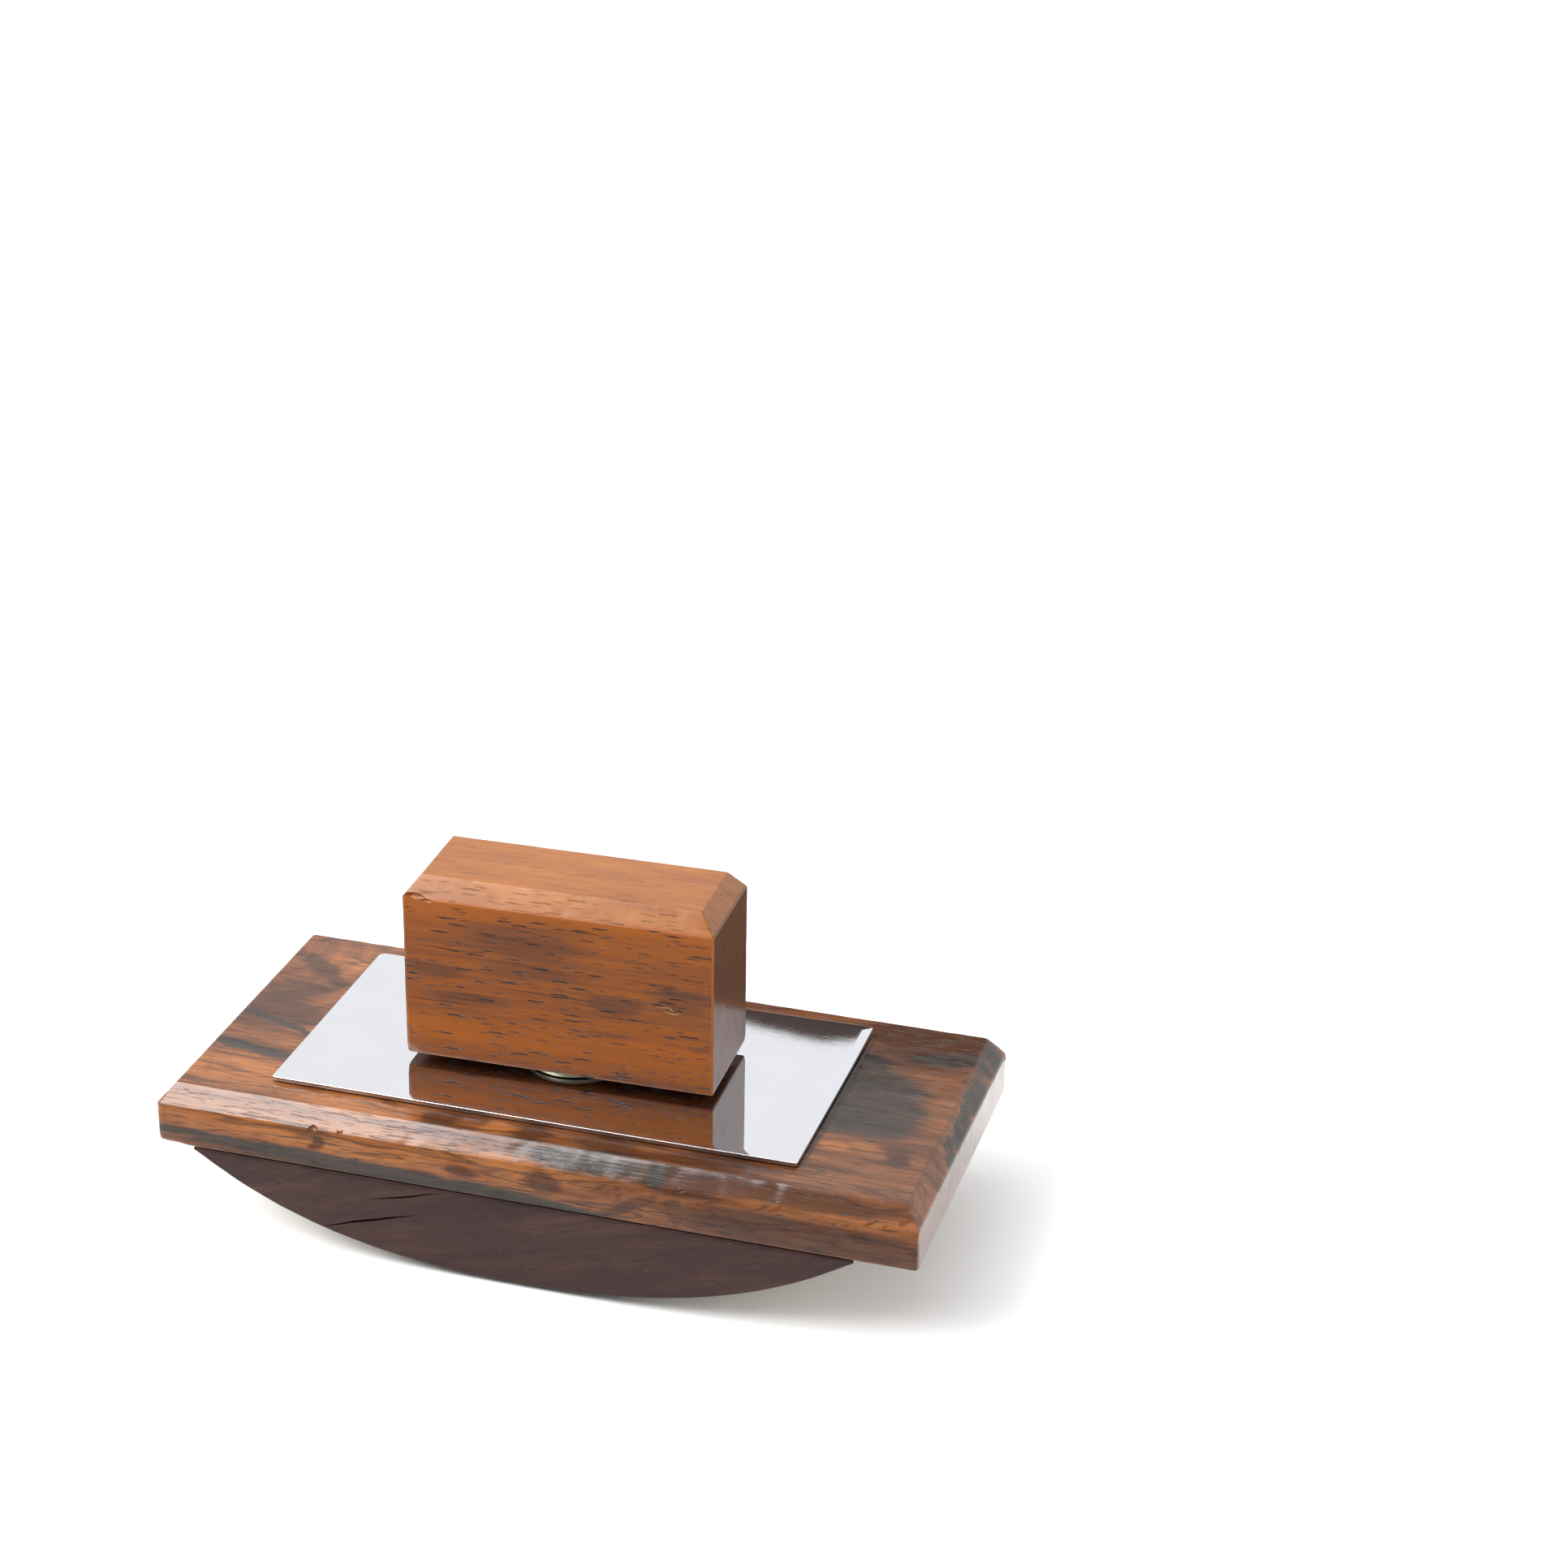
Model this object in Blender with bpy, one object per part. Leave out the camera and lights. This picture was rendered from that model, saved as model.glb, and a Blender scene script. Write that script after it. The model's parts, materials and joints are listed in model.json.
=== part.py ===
"""Rocker ink blotter: a curved hardwood rocker that carries a strip of blotting paper, a chamfered board that
clamps the paper's ends, a mirror-plated sheet and a screwed-on handle. Metres, +Z up, +X along its length.
The origin is under the middle of the outline, on the desk."""

import math

import bmesh
import bpy
from mathutils import Vector

MM = 0.001
GAP = 0.3 * MM  # kept between pieces that rest on one another
OVERSHOOT = 2.0 * MM  # how far a cutter stands out of the face that it opens
SMOOTH_ANGLE = math.radians(35.0)

# The board, which is the longest and widest piece.
BOARD_LENGTH = 165.0 * MM
BOARD_WIDTH = 77.9 * MM
BOARD_THICKNESS = 13.3 * MM
BOARD_CHAMFER_ACROSS = 3.5 * MM
BOARD_CHAMFER_DOWN = 4.1 * MM
WOOD_EDGE = 0.45 * MM  # width of the sanded edges
WOOD_EDGE_SEGMENTS = 2
WOOD_EDGE_ANGLE = math.radians(25.0)  # sharper edges than this are sanded

# Everything but the board is centred on the clamp bolt, which stands a little left of the board's middle.
AXIS_X = -2.8 * MM

# Blotting paper.
PAPER_THICKNESS = 0.5 * MM
PAPER_WIDTH = 72.0 * MM
PAPER_TURN_IN = 13.0 * MM

# Rocker: from a short flat its underside climbs by RISE_2 * run^2 + RISE_4 * run^4.
ROCKER_HALF_LENGTH = 71.8 * MM
ROCKER_DEPTH = 76.9 * MM
ROCKER_HEIGHT = 19.6 * MM
REST_FLAT = 6.0 * MM
RISE_2 = 2.96  # per metre
RISE_4 = 221.0  # per metre cubed
ROCKER_STEPS = 24  # facets on each side of the flat

# Mirror plate.
PLATE_LENGTH = 114.6 * MM
PLATE_WIDTH = 59.1 * MM
PLATE_THICKNESS = 0.9 * MM
PLATE_CORNER = 0.6 * MM
PLATE_CORNER_SEGMENTS = 3

# Collar and handle.
COLLAR_RADIUS = 11.6 * MM
COLLAR_THICKNESS = 1.1 * MM
COLLAR_EDGE = 0.25 * MM
HANDLE_LENGTH = 67.3 * MM
HANDLE_DEPTH = 25.8 * MM
HANDLE_HEIGHT = 40.9 * MM
HANDLE_CHAMFER_ACROSS = 3.4 * MM
HANDLE_CHAMFER_DOWN = 4.4 * MM
HANDLE_BACK_EASE_ACROSS = 1.3 * MM
HANDLE_BACK_EASE_UP = 2.6 * MM
HANDLE_SKEW = math.radians(1.5)  # where the thread comes up tight

# Bolt, washer, insert and dowels.
BOLT_RADIUS = 2.85 * MM
BOLT_HEAD_RADIUS = 5.6 * MM
BOLT_HEAD_HEIGHT = 3.8 * MM
BOLT_HEAD_CHAMFER = 0.4 * MM
BOLT_TIP_CHAMFER = 0.6 * MM
BOLT_IN_HANDLE = 13.0 * MM
SLOT_WIDTH = 1.4 * MM
SLOT_DEPTH = 1.6 * MM
BOLT_HOLE_RADIUS = 3.25 * MM
WASHER_RADIUS = 6.8 * MM
WASHER_THICKNESS = 1.0 * MM
COUNTERBORE_RADIUS = 7.3 * MM
COUNTERBORE_DEPTH = 8.4 * MM
INSERT_RADIUS = 4.8 * MM
INSERT_LENGTH = 13.5 * MM
INSERT_FLANGE = 0.8 * MM  # its thickness, and the height of the taper above it
INSERT_FLANGE_STEP = 0.5 * MM  # how far it stands out of the insert's body
HANDLE_HOLE_DEPTH = 19.0 * MM
DOWEL_RADIUS = 2.0 * MM
DOWEL_SPACING = 90.0 * MM
DOWEL_IN_ROCKER = 8.6 * MM
DOWEL_IN_BOARD = 5.6 * MM
DOWEL_CHAMFER = 0.5 * MM
ROUND_STEPS = 48

# Heights above the desk.
ROCKER_BOTTOM = PAPER_THICKNESS + GAP
ROCKER_TOP = ROCKER_BOTTOM + ROCKER_HEIGHT
BOARD_BOTTOM = ROCKER_TOP + GAP
BOARD_TOP = BOARD_BOTTOM + BOARD_THICKNESS
PLATE_BOTTOM = BOARD_TOP + GAP
PLATE_TOP = PLATE_BOTTOM + PLATE_THICKNESS
COLLAR_BOTTOM = PLATE_TOP + GAP
COLLAR_TOP = COLLAR_BOTTOM + COLLAR_THICKNESS
HANDLE_BOTTOM = COLLAR_TOP + GAP
HANDLE_TOP = HANDLE_BOTTOM + HANDLE_HEIGHT
COUNTERBORE_TOP = ROCKER_BOTTOM + COUNTERBORE_DEPTH
WASHER_TOP = COUNTERBORE_TOP - GAP
HEAD_TOP = WASHER_TOP - WASHER_THICKNESS - GAP
HEAD_BOTTOM = HEAD_TOP - BOLT_HEAD_HEIGHT
POCKET_FLOOR = ROCKER_TOP - PAPER_THICKNESS - GAP

# name: (colour, roughness, metallic)
MATERIALS = {
    "amber_wood": ((0.36, 0.135, 0.035), 0.35, 0.0),
    "rosewood": ((0.19, 0.065, 0.025), 0.30, 0.0),
    "dark_wood": ((0.062, 0.038, 0.032), 0.50, 0.0),
    "chrome": ((0.82, 0.83, 0.84), 0.06, 1.0),
    "nickel": ((0.62, 0.60, 0.52), 0.25, 1.0),
    "steel": ((0.45, 0.45, 0.46), 0.35, 1.0),
    "brass": ((0.62, 0.45, 0.18), 0.30, 1.0),
    "beech": ((0.50, 0.33, 0.18), 0.60, 0.0),
    "blotting_paper": ((0.78, 0.74, 0.66), 0.95, 0.0),
}


def clear_scene():
    for obj in list(bpy.data.objects):
        bpy.data.objects.remove(obj, do_unlink=True)


def make_materials():
    for name, (colour, roughness, metallic) in MATERIALS.items():
        material = bpy.data.materials.new(name)
        material.use_nodes = True
        shader = material.node_tree.nodes["Principled BSDF"]
        shader.inputs["Base Color"].default_value = (*colour, 1.0)
        shader.inputs["Roughness"].default_value = roughness
        shader.inputs["Metallic"].default_value = metallic


def add_object(name, bm, material=None, parent=None, location=(0.0, 0.0, 0.0)):
    """Turns the bmesh, drawn in the parent's coordinates less the location, into an object."""
    bmesh.ops.recalc_face_normals(bm, faces=bm.faces)
    mesh = bpy.data.meshes.new(name)
    bm.to_mesh(mesh)
    bm.free()
    obj = bpy.data.objects.new(name, mesh)
    bpy.context.scene.collection.objects.link(obj)
    obj.location = location
    obj.parent = parent
    if material:
        mesh.materials.append(bpy.data.materials[material])
    return obj


def add_empty(name, location, turn=0.0):
    empty = bpy.data.objects.new(name, None)
    empty.empty_display_size = 0.01
    empty.location = location
    empty.rotation_euler.z = turn
    bpy.context.scene.collection.objects.link(empty)
    return empty


def rings_mesh(rings):
    """A solid through stacked rectangles. Each ring is (z, x_min, x_max, y_min, y_max)."""
    bm = bmesh.new()
    loops = []
    for z, x_min, x_max, y_min, y_max in rings:
        corners = ((x_min, y_min), (x_max, y_min), (x_max, y_max), (x_min, y_max))
        loops.append([bm.verts.new((x, y, z)) for x, y in corners])
    for lower, upper in zip(loops, loops[1:]):
        for i in range(4):
            j = (i + 1) % 4
            bm.faces.new((lower[i], lower[j], upper[j], upper[i]))
    bm.faces.new(loops[0])
    bm.faces.new(loops[-1])
    return bm


def prism_mesh(outline, depth):
    """The (x, z) outline extruded along Y, centred on y = 0."""
    bm = bmesh.new()
    front = [bm.verts.new((x, -depth / 2, z)) for x, z in outline]
    back = [bm.verts.new((x, depth / 2, z)) for x, z in outline]
    bm.faces.new(front)
    bm.faces.new(back)
    for i in range(len(outline)):
        j = (i + 1) % len(outline)
        bm.faces.new((front[i], front[j], back[j], back[i]))
    return bm


def turned_mesh(profile, ring=False):
    """The (radius, z) profile turned round Z. A ring's profile is closed, and any other starts and ends on
    the axis."""
    bm = bmesh.new()
    columns = []
    for step in range(ROUND_STEPS):
        angle = 2 * math.pi * step / ROUND_STEPS
        points = profile if ring else profile[1:-1]
        columns.append([bm.verts.new((r * math.cos(angle), r * math.sin(angle), z)) for r, z in points])
    count = len(columns[0])
    for step, column in enumerate(columns):
        after = columns[(step + 1) % ROUND_STEPS]
        for i in range(count if ring else count - 1):
            j = (i + 1) % count
            bm.faces.new((column[i], after[i], after[j], column[j]))
    if not ring:
        bm.faces.new([column[0] for column in columns])
        bm.faces.new([column[-1] for column in columns])
    return bm


def soften(obj):
    """Sands the wood's edges."""
    bevel = obj.modifiers.new("edges", "BEVEL")
    bevel.width = WOOD_EDGE
    bevel.segments = WOOD_EDGE_SEGMENTS
    bevel.limit_method = "ANGLE"
    bevel.angle_limit = WOOD_EDGE_ANGLE


def cut(obj, cutter):
    """Subtracts the cutter, which stays in the scene as a hidden guide."""
    cutter.hide_render = True
    cutter.display_type = "WIRE"
    boolean = obj.modifiers.new("cut_" + cutter.name, "BOOLEAN")
    boolean.operation = "DIFFERENCE"
    boolean.solver = "EXACT"
    boolean.object = cutter


def cut_round(obj, name, radius, bottom, top, centre=(AXIS_X, 0.0), parent=None):
    bm = turned_mesh([(0.0, bottom), (radius, bottom), (radius, top), (0.0, top)])
    cut(obj, add_object(name, bm, parent=parent, location=(*centre, 0.0)))


def smooth(obj):
    obj.data.shade_smooth()
    obj.data.set_sharp_from_angle(angle=SMOOTH_ANGLE)


def rocker_curve():
    """The underside from the left end to the right end, as (x, z) from the bolt's axis and the rocker's
    bottom."""
    half_flat = REST_FLAT / 2
    right = []
    for step in range(ROCKER_STEPS + 1):
        x = half_flat + (ROCKER_HALF_LENGTH - half_flat) * step / ROCKER_STEPS
        run = x - half_flat
        right.append((x, RISE_2 * run**2 + RISE_4 * run**4))
    return [(-x, z) for x, z in reversed(right)] + right


def offset_curve(curve, distance):
    """The curve moved sideways to the right of its direction, which is outwards where it runs left to right
    under the rocker."""
    points = []
    for i, (x, z) in enumerate(curve):
        before = Vector(curve[max(i - 1, 0)])
        after = Vector(curve[min(i + 1, len(curve) - 1)])
        here = Vector((x, z))
        sides = [side.normalized() for side in (here - before, after - here) if side.length > 0]
        normals = [Vector((side.y, -side.x)) for side in sides]
        mean = sum(normals, Vector((0.0, 0.0))).normalized()
        points.append(tuple(here + mean * (distance / mean.dot(normals[0]))))
    return points


def build_rocker():
    curve = [(x, z + ROCKER_BOTTOM) for x, z in rocker_curve()]
    outline = curve + [(ROCKER_HALF_LENGTH, ROCKER_TOP), (-ROCKER_HALF_LENGTH, ROCKER_TOP)]
    bm = prism_mesh(outline, ROCKER_DEPTH)
    rocker = add_object("rocker_block", bm, "dark_wood", location=(AXIS_X, 0.0, 0.0))
    cut_pockets(rocker)
    below, above = ROCKER_BOTTOM - OVERSHOOT, ROCKER_TOP + OVERSHOOT
    cut_round(rocker, "rocker_bore_guide", BOLT_HOLE_RADIUS, below, above)
    cut_round(rocker, "rocker_counterbore_guide", COUNTERBORE_RADIUS, below, COUNTERBORE_TOP)
    floor = ROCKER_TOP - DOWEL_IN_ROCKER - GAP
    for side, x in dowel_places():
        name = f"rocker_dowel_guide_{side}"
        cut_round(rocker, name, DOWEL_RADIUS + GAP, floor, above, (x, 0.0))
    smooth(rocker)
    return rocker


def cut_pockets(rocker):
    """Shallow pockets in the top of the rocker's ends, where the paper's ends are turned in."""
    half_width = PAPER_WIDTH / 2 + GAP
    for side, sign in (("left", -1), ("right", 1)):
        inner = sign * (ROCKER_HALF_LENGTH - PAPER_TURN_IN - GAP)
        outer = sign * (ROCKER_HALF_LENGTH + OVERSHOOT)
        x_min, x_max = sorted((inner, outer))
        ring = (x_min, x_max, -half_width, half_width)
        bm = rings_mesh([(POCKET_FLOOR, *ring), (ROCKER_TOP + OVERSHOOT, *ring)])
        cut(rocker, add_object(f"rocker_pocket_guide_{side}", bm, location=(AXIS_X, 0.0, 0.0)))


def build_paper():
    """One strip of even thickness: along the curve, round each tip, and in over the pocket's floor."""
    last = POCKET_FLOOR - PAPER_THICKNESS
    curve = [(x, z + ROCKER_BOTTOM) for x, z in rocker_curve() if z + ROCKER_BOTTOM < last]
    inner = offset_curve(curve, GAP)
    outer = offset_curve(curve, GAP + PAPER_THICKNESS)
    inner_top = POCKET_FLOOR + GAP
    outer_top = inner_top + PAPER_THICKNESS
    inner_tip = ROCKER_HALF_LENGTH + GAP
    outer_tip = inner_tip + PAPER_THICKNESS
    end = ROCKER_HALF_LENGTH - PAPER_TURN_IN
    right_outer = [
        (outer_tip, POCKET_FLOOR),
        (outer_tip, inner_top),
        (inner_tip, outer_top),
        (end, outer_top),
    ]
    right_inner = [(end, inner_top), (ROCKER_HALF_LENGTH, inner_top), (inner_tip, POCKET_FLOOR)]
    mirrored_outer = [(-x, z) for x, z in reversed(right_outer)]
    mirrored_inner = [(-x, z) for x, z in reversed(right_inner)]
    outline = outer + right_outer + right_inner + inner[::-1] + mirrored_inner + mirrored_outer
    bm = prism_mesh(outline, PAPER_WIDTH)
    paper = add_object("blotting_paper", bm, "blotting_paper", location=(AXIS_X, 0.0, 0.0))
    smooth(paper)
    return paper


def dowel_places():
    return (("left", AXIS_X - DOWEL_SPACING / 2), ("right", AXIS_X + DOWEL_SPACING / 2))


def build_dowels():
    bottom = ROCKER_TOP - DOWEL_IN_ROCKER
    top = BOARD_BOTTOM + DOWEL_IN_BOARD
    chamfer = DOWEL_CHAMFER
    profile = [
        (0.0, bottom),
        (DOWEL_RADIUS - chamfer, bottom),
        (DOWEL_RADIUS, bottom + chamfer),
        (DOWEL_RADIUS, top - chamfer),
        (DOWEL_RADIUS - chamfer, top),
        (0.0, top),
    ]
    for side, x in dowel_places():
        name = f"locating_dowel_{side}"
        smooth(add_object(name, turned_mesh(profile), "beech", location=(x, 0.0, 0.0)))


def build_bolt():
    tip = HANDLE_BOTTOM + BOLT_IN_HANDLE
    profile = [
        (0.0, HEAD_BOTTOM),
        (BOLT_HEAD_RADIUS - BOLT_HEAD_CHAMFER, HEAD_BOTTOM),
        (BOLT_HEAD_RADIUS, HEAD_BOTTOM + BOLT_HEAD_CHAMFER),
        (BOLT_HEAD_RADIUS, HEAD_TOP),
        (BOLT_RADIUS, HEAD_TOP),
        (BOLT_RADIUS, tip - BOLT_TIP_CHAMFER),
        (BOLT_RADIUS - BOLT_TIP_CHAMFER, tip),
        (0.0, tip),
    ]
    bolt = add_object("clamp_bolt", turned_mesh(profile), "steel", location=(AXIS_X, 0.0, 0.0))
    half = SLOT_WIDTH / 2
    reach = 2 * BOLT_HEAD_RADIUS
    ring = (-reach, reach, -half, half)
    bm = rings_mesh([(HEAD_BOTTOM - SLOT_DEPTH, *ring), (HEAD_BOTTOM + SLOT_DEPTH, *ring)])
    cut(bolt, add_object("bolt_slot_guide", bm, location=(AXIS_X, 0.0, 0.0)))
    smooth(bolt)


def ring_profile(inner, outer, bottom, top, edge=0.0):
    if not edge:
        return [(inner, bottom), (outer, bottom), (outer, top), (inner, top)]
    return [
        (inner, bottom),
        (outer - edge, bottom),
        (outer, bottom + edge),
        (outer, top - edge),
        (outer - edge, top),
        (inner, top),
    ]


def build_washer():
    profile = ring_profile(BOLT_HOLE_RADIUS, WASHER_RADIUS, WASHER_TOP - WASHER_THICKNESS, WASHER_TOP)
    smooth(add_object("bolt_washer", turned_mesh(profile, ring=True), "steel", location=(AXIS_X, 0.0, 0.0)))


def build_board(lift):
    """The board and its plate are drawn from the bolt's axis, which the lift empty stands on."""
    x_min = -BOARD_LENGTH / 2 - AXIS_X
    x_max = BOARD_LENGTH / 2 - AXIS_X
    half = BOARD_WIDTH / 2
    across = BOARD_CHAMFER_ACROSS
    rings = [
        (BOARD_BOTTOM, x_min, x_max, -half, half),
        (BOARD_TOP - BOARD_CHAMFER_DOWN, x_min, x_max, -half, half),
        (BOARD_TOP, x_min + across, x_max - across, across - half, half - across),
    ]
    board = add_object("top_board", rings_mesh(rings), "rosewood", parent=lift)
    soften(board)
    below, above = BOARD_BOTTOM - OVERSHOOT, BOARD_TOP + OVERSHOOT
    cut_round(board, "board_bore_guide", BOLT_HOLE_RADIUS, below, above, (0.0, 0.0), lift)
    top = BOARD_BOTTOM + DOWEL_IN_BOARD + 2 * GAP
    for side, x in dowel_places():
        name = f"board_dowel_guide_{side}"
        cut_round(board, name, DOWEL_RADIUS + GAP, below, top, (x - AXIS_X, 0.0), lift)
    smooth(board)


def build_plate(lift):
    bm = rings_mesh(
        [
            (z, -PLATE_LENGTH / 2, PLATE_LENGTH / 2, -PLATE_WIDTH / 2, PLATE_WIDTH / 2)
            for z in (PLATE_BOTTOM, PLATE_TOP)
        ]
    )
    upright = [edge for edge in bm.edges if abs(edge.verts[0].co.z - edge.verts[1].co.z) > GAP]
    corner = {"offset": PLATE_CORNER, "segments": PLATE_CORNER_SEGMENTS}
    bmesh.ops.bevel(bm, geom=upright, affect="EDGES", **corner)
    plate = add_object("chrome_plate", bm, "chrome", parent=lift)
    below, above = PLATE_BOTTOM - OVERSHOOT, PLATE_TOP + OVERSHOOT
    cut_round(plate, "plate_bore_guide", BOLT_HOLE_RADIUS, below, above, (0.0, 0.0), lift)
    smooth(plate)


def build_collar(lift):
    profile = ring_profile(BOLT_HOLE_RADIUS, COLLAR_RADIUS, COLLAR_BOTTOM, COLLAR_TOP, COLLAR_EDGE)
    smooth(add_object("collar", turned_mesh(profile, ring=True), "nickel", parent=lift))


def build_handle(turn):
    half_x = HANDLE_LENGTH / 2
    half_y = HANDLE_DEPTH / 2
    across = HANDLE_CHAMFER_ACROSS
    rings = [
        (HANDLE_BOTTOM, -half_x, half_x, -half_y, half_y - HANDLE_BACK_EASE_ACROSS),
        (HANDLE_BOTTOM + HANDLE_BACK_EASE_UP, -half_x, half_x, -half_y, half_y),
        (HANDLE_TOP - HANDLE_CHAMFER_DOWN, -half_x, half_x, -half_y, half_y),
        (HANDLE_TOP, across - half_x, half_x - across, across - half_y, half_y - across),
    ]
    handle = add_object("handle_block", rings_mesh(rings), "amber_wood", parent=turn)
    soften(handle)
    below = HANDLE_BOTTOM - OVERSHOOT
    pocket_top = HANDLE_BOTTOM + INSERT_LENGTH + 2 * GAP
    hole_top = HANDLE_BOTTOM + HANDLE_HOLE_DEPTH
    cut_round(handle, "insert_pocket_guide", INSERT_RADIUS + GAP, below, pocket_top, (0.0, 0.0), turn)
    cut_round(handle, "handle_hole_guide", BOLT_HOLE_RADIUS, below, hole_top, (0.0, 0.0), turn)
    smooth(handle)


def build_insert(turn):
    bottom = HANDLE_BOTTOM + GAP
    top = bottom + INSERT_LENGTH
    body = INSERT_RADIUS - INSERT_FLANGE_STEP
    profile = [
        (BOLT_HOLE_RADIUS, bottom),
        (INSERT_RADIUS, bottom),
        (INSERT_RADIUS, bottom + INSERT_FLANGE),
        (body, bottom + 2 * INSERT_FLANGE),
        (body, top),
        (BOLT_HOLE_RADIUS, top),
    ]
    smooth(add_object("handle_insert", turned_mesh(profile, ring=True), "brass", parent=turn))


def main():
    clear_scene()
    make_materials()
    build_rocker()
    build_paper()
    build_dowels()
    build_bolt()
    build_washer()
    board_lift = add_empty("board_lift", (AXIS_X, 0.0, 0.0))
    build_board(board_lift)
    build_plate(board_lift)
    build_collar(add_empty("collar_lift", (AXIS_X, 0.0, 0.0)))
    handle_turn = add_empty("handle_turn", (AXIS_X, 0.0, 0.0), HANDLE_SKEW)
    build_handle(handle_turn)
    build_insert(handle_turn)
    bpy.context.view_layer.update()


main()
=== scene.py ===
"""Looks of the rocker ink blotter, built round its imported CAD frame. Metres, +Z up, origin on the desk."""

import json
import math

import bmesh
import bpy
import numpy as np
from mathutils import Matrix, Vector, noise

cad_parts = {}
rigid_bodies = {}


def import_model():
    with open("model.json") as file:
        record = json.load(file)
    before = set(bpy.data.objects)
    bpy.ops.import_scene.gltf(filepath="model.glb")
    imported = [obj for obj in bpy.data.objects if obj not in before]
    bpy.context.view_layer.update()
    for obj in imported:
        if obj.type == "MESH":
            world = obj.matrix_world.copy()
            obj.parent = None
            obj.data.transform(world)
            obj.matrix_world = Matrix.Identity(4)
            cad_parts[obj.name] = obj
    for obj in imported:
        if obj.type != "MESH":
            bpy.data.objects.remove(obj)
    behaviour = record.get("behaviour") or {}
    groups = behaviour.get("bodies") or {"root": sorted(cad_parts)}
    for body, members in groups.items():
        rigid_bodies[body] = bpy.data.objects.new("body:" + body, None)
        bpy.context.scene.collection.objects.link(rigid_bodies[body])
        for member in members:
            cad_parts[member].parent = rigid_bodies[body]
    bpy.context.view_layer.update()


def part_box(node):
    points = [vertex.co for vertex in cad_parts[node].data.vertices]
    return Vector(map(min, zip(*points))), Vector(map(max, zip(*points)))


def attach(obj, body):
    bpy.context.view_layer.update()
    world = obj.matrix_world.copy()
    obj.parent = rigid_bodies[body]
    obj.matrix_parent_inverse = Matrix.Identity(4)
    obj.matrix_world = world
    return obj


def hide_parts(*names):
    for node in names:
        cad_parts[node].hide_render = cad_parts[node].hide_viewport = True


MM = 0.001


def mm(*lengths):
    return tuple(length * MM for length in lengths)


CLEAR = 0.3 * MM  # the gap that the CAD keeps between touching pieces
OVERSHOOT = 2 * MM  # how far a cutter runs past the face that it opens
FACE_RIM = 1 * MM  # how far the fine rows of a block's side reach onto its bottom and top
SAME_RADIUS = 0.01 * MM  # radii that differ by less are the same

# Camera, as the photograph was taken.
CAMERA_PLACE = (0.21358, -0.59543, 0.38791)
CAMERA_TURN = (65.416, -0.884, 16.483)  # degrees
CAMERA_LENS = 77.85
CAMERA_SENSOR = 36

# Board. Corners go front left, front right, back right, back left, here and below.
BOARD_CHAMFER = mm(3.5, 4.1)  # across, down
BOARD_EDGE = 0.7 * MM
BOARD_CORNERS = mm(1, 0.7, 2.6, 1.4)
BOARD_CHIPS = (  # place along X, height over the chamfer's lower edge, half size, seed of the shape
    (-46.9 * MM, 0.3 * MM, mm(1.1, 0.9, 0.8), 3),
    (-41 * MM, 0.3 * MM, mm(0.8, 0.5, 0.5), 4),
    (33 * MM, 0.2 * MM, mm(0.9, 0.5, 0.4), 5),
)

# Handle.
HANDLE_SIZE = mm(67.3, 25.8)
HANDLE_SKEW = 1.5  # degrees
HANDLE_CHAMFER = mm(3.4, 4.4)
HANDLE_EDGE = 0.4 * MM
HANDLE_CORNERS = mm(0.7, 0.35, 0.5, 0.9)
HANDLE_EASE = mm(1.3, 2.6)  # in and up, where the bottom edge at the back is eased
HANDLE_HOLE = 19 * MM  # how deep the bolt's hole is
HANDLE_CHIPS = (  # place from the top's front left corner, half size, seed of the shape
    (mm(2.4, 0.1, -3.9), mm(2.9, 1.1, 0.85), 1),
    (mm(5.6, -0.1, -4.5), mm(1.5, 0.6, 0.5), 2),
)

# Rocker and paper.
ROCKER_FLAT = 6 * MM
RISE_2, RISE_4 = 2.96, 221  # the underside rises by RISE_2 * run**2 + RISE_4 * run**4
ROCKER_EDGE = 0.6 * MM
ROCKER_CRACKS = (  # start (x, z), end (x, z), width, depth, seed of the path
    (mm(-47.5, 6), mm(-23.5, 13.6), 0.75 * MM, 3.5 * MM, 1),
    (mm(-35.5, 15), mm(-18, 19.8), 0.6 * MM, 3 * MM, 2),
)
PAPER_THICKNESS = 0.5 * MM
PAPER_POCKET = 72.6 * MM  # width of the recess at each end for the turned-in paper
TURN_IN = 13 * MM

# Metalwork.
PLATE_SIZE = mm(114.6, 59.1)
PLATE_EDGE = 0.14 * MM
PLATE_CORNERS = mm(0.6, 0.6, 0.8, 1.4)
PLATE_BEND = 0.5 * MM
PLATE_WAVE = 0.035 * MM
PLATE_FLAT = 17 * MM  # round the middle, where the collar stands
COLLAR_EDGE = 0.15 * MM
WASHER_EDGE = 0.2 * MM
BOLT_RADIUS = 2.85 * MM
BOLT_HEAD = mm(5.6, 3.8)  # radius, height
BOLT_SLOT = mm(1.4, 1.6)  # width, depth
COUNTERBORE_RADIUS = 7.3 * MM
THREAD_PITCH = 1 * MM
THREAD_DEPTH = 0.34 * MM
HOLE_RADIUS = 3.25 * MM
INSERT_RADIUS = 4.8 * MM
DOWEL_RADIUS = 2 * MM
DOWEL_CHAMFER = 0.5 * MM


# ---- meshes


def add_object(name, data):
    made = bpy.data.objects.new(name, data)
    bpy.context.scene.collection.objects.link(made)
    return made


def mesh_object(name, bm):
    """The bmesh as an object in the scene. The bmesh is used up."""
    mesh = bpy.data.meshes.new(name)
    bm.to_mesh(mesh)
    bm.free()
    return add_object(name, mesh)


def add_piece(name, bm, material, node, body):
    """A finished bmesh as a piece that stands for a CAD node."""
    bmesh.ops.recalc_face_normals(bm, faces=bm.faces)
    piece = mesh_object(name, bm)
    piece.data.materials.append(material)
    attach(piece, body)
    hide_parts(node)
    return piece


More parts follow.
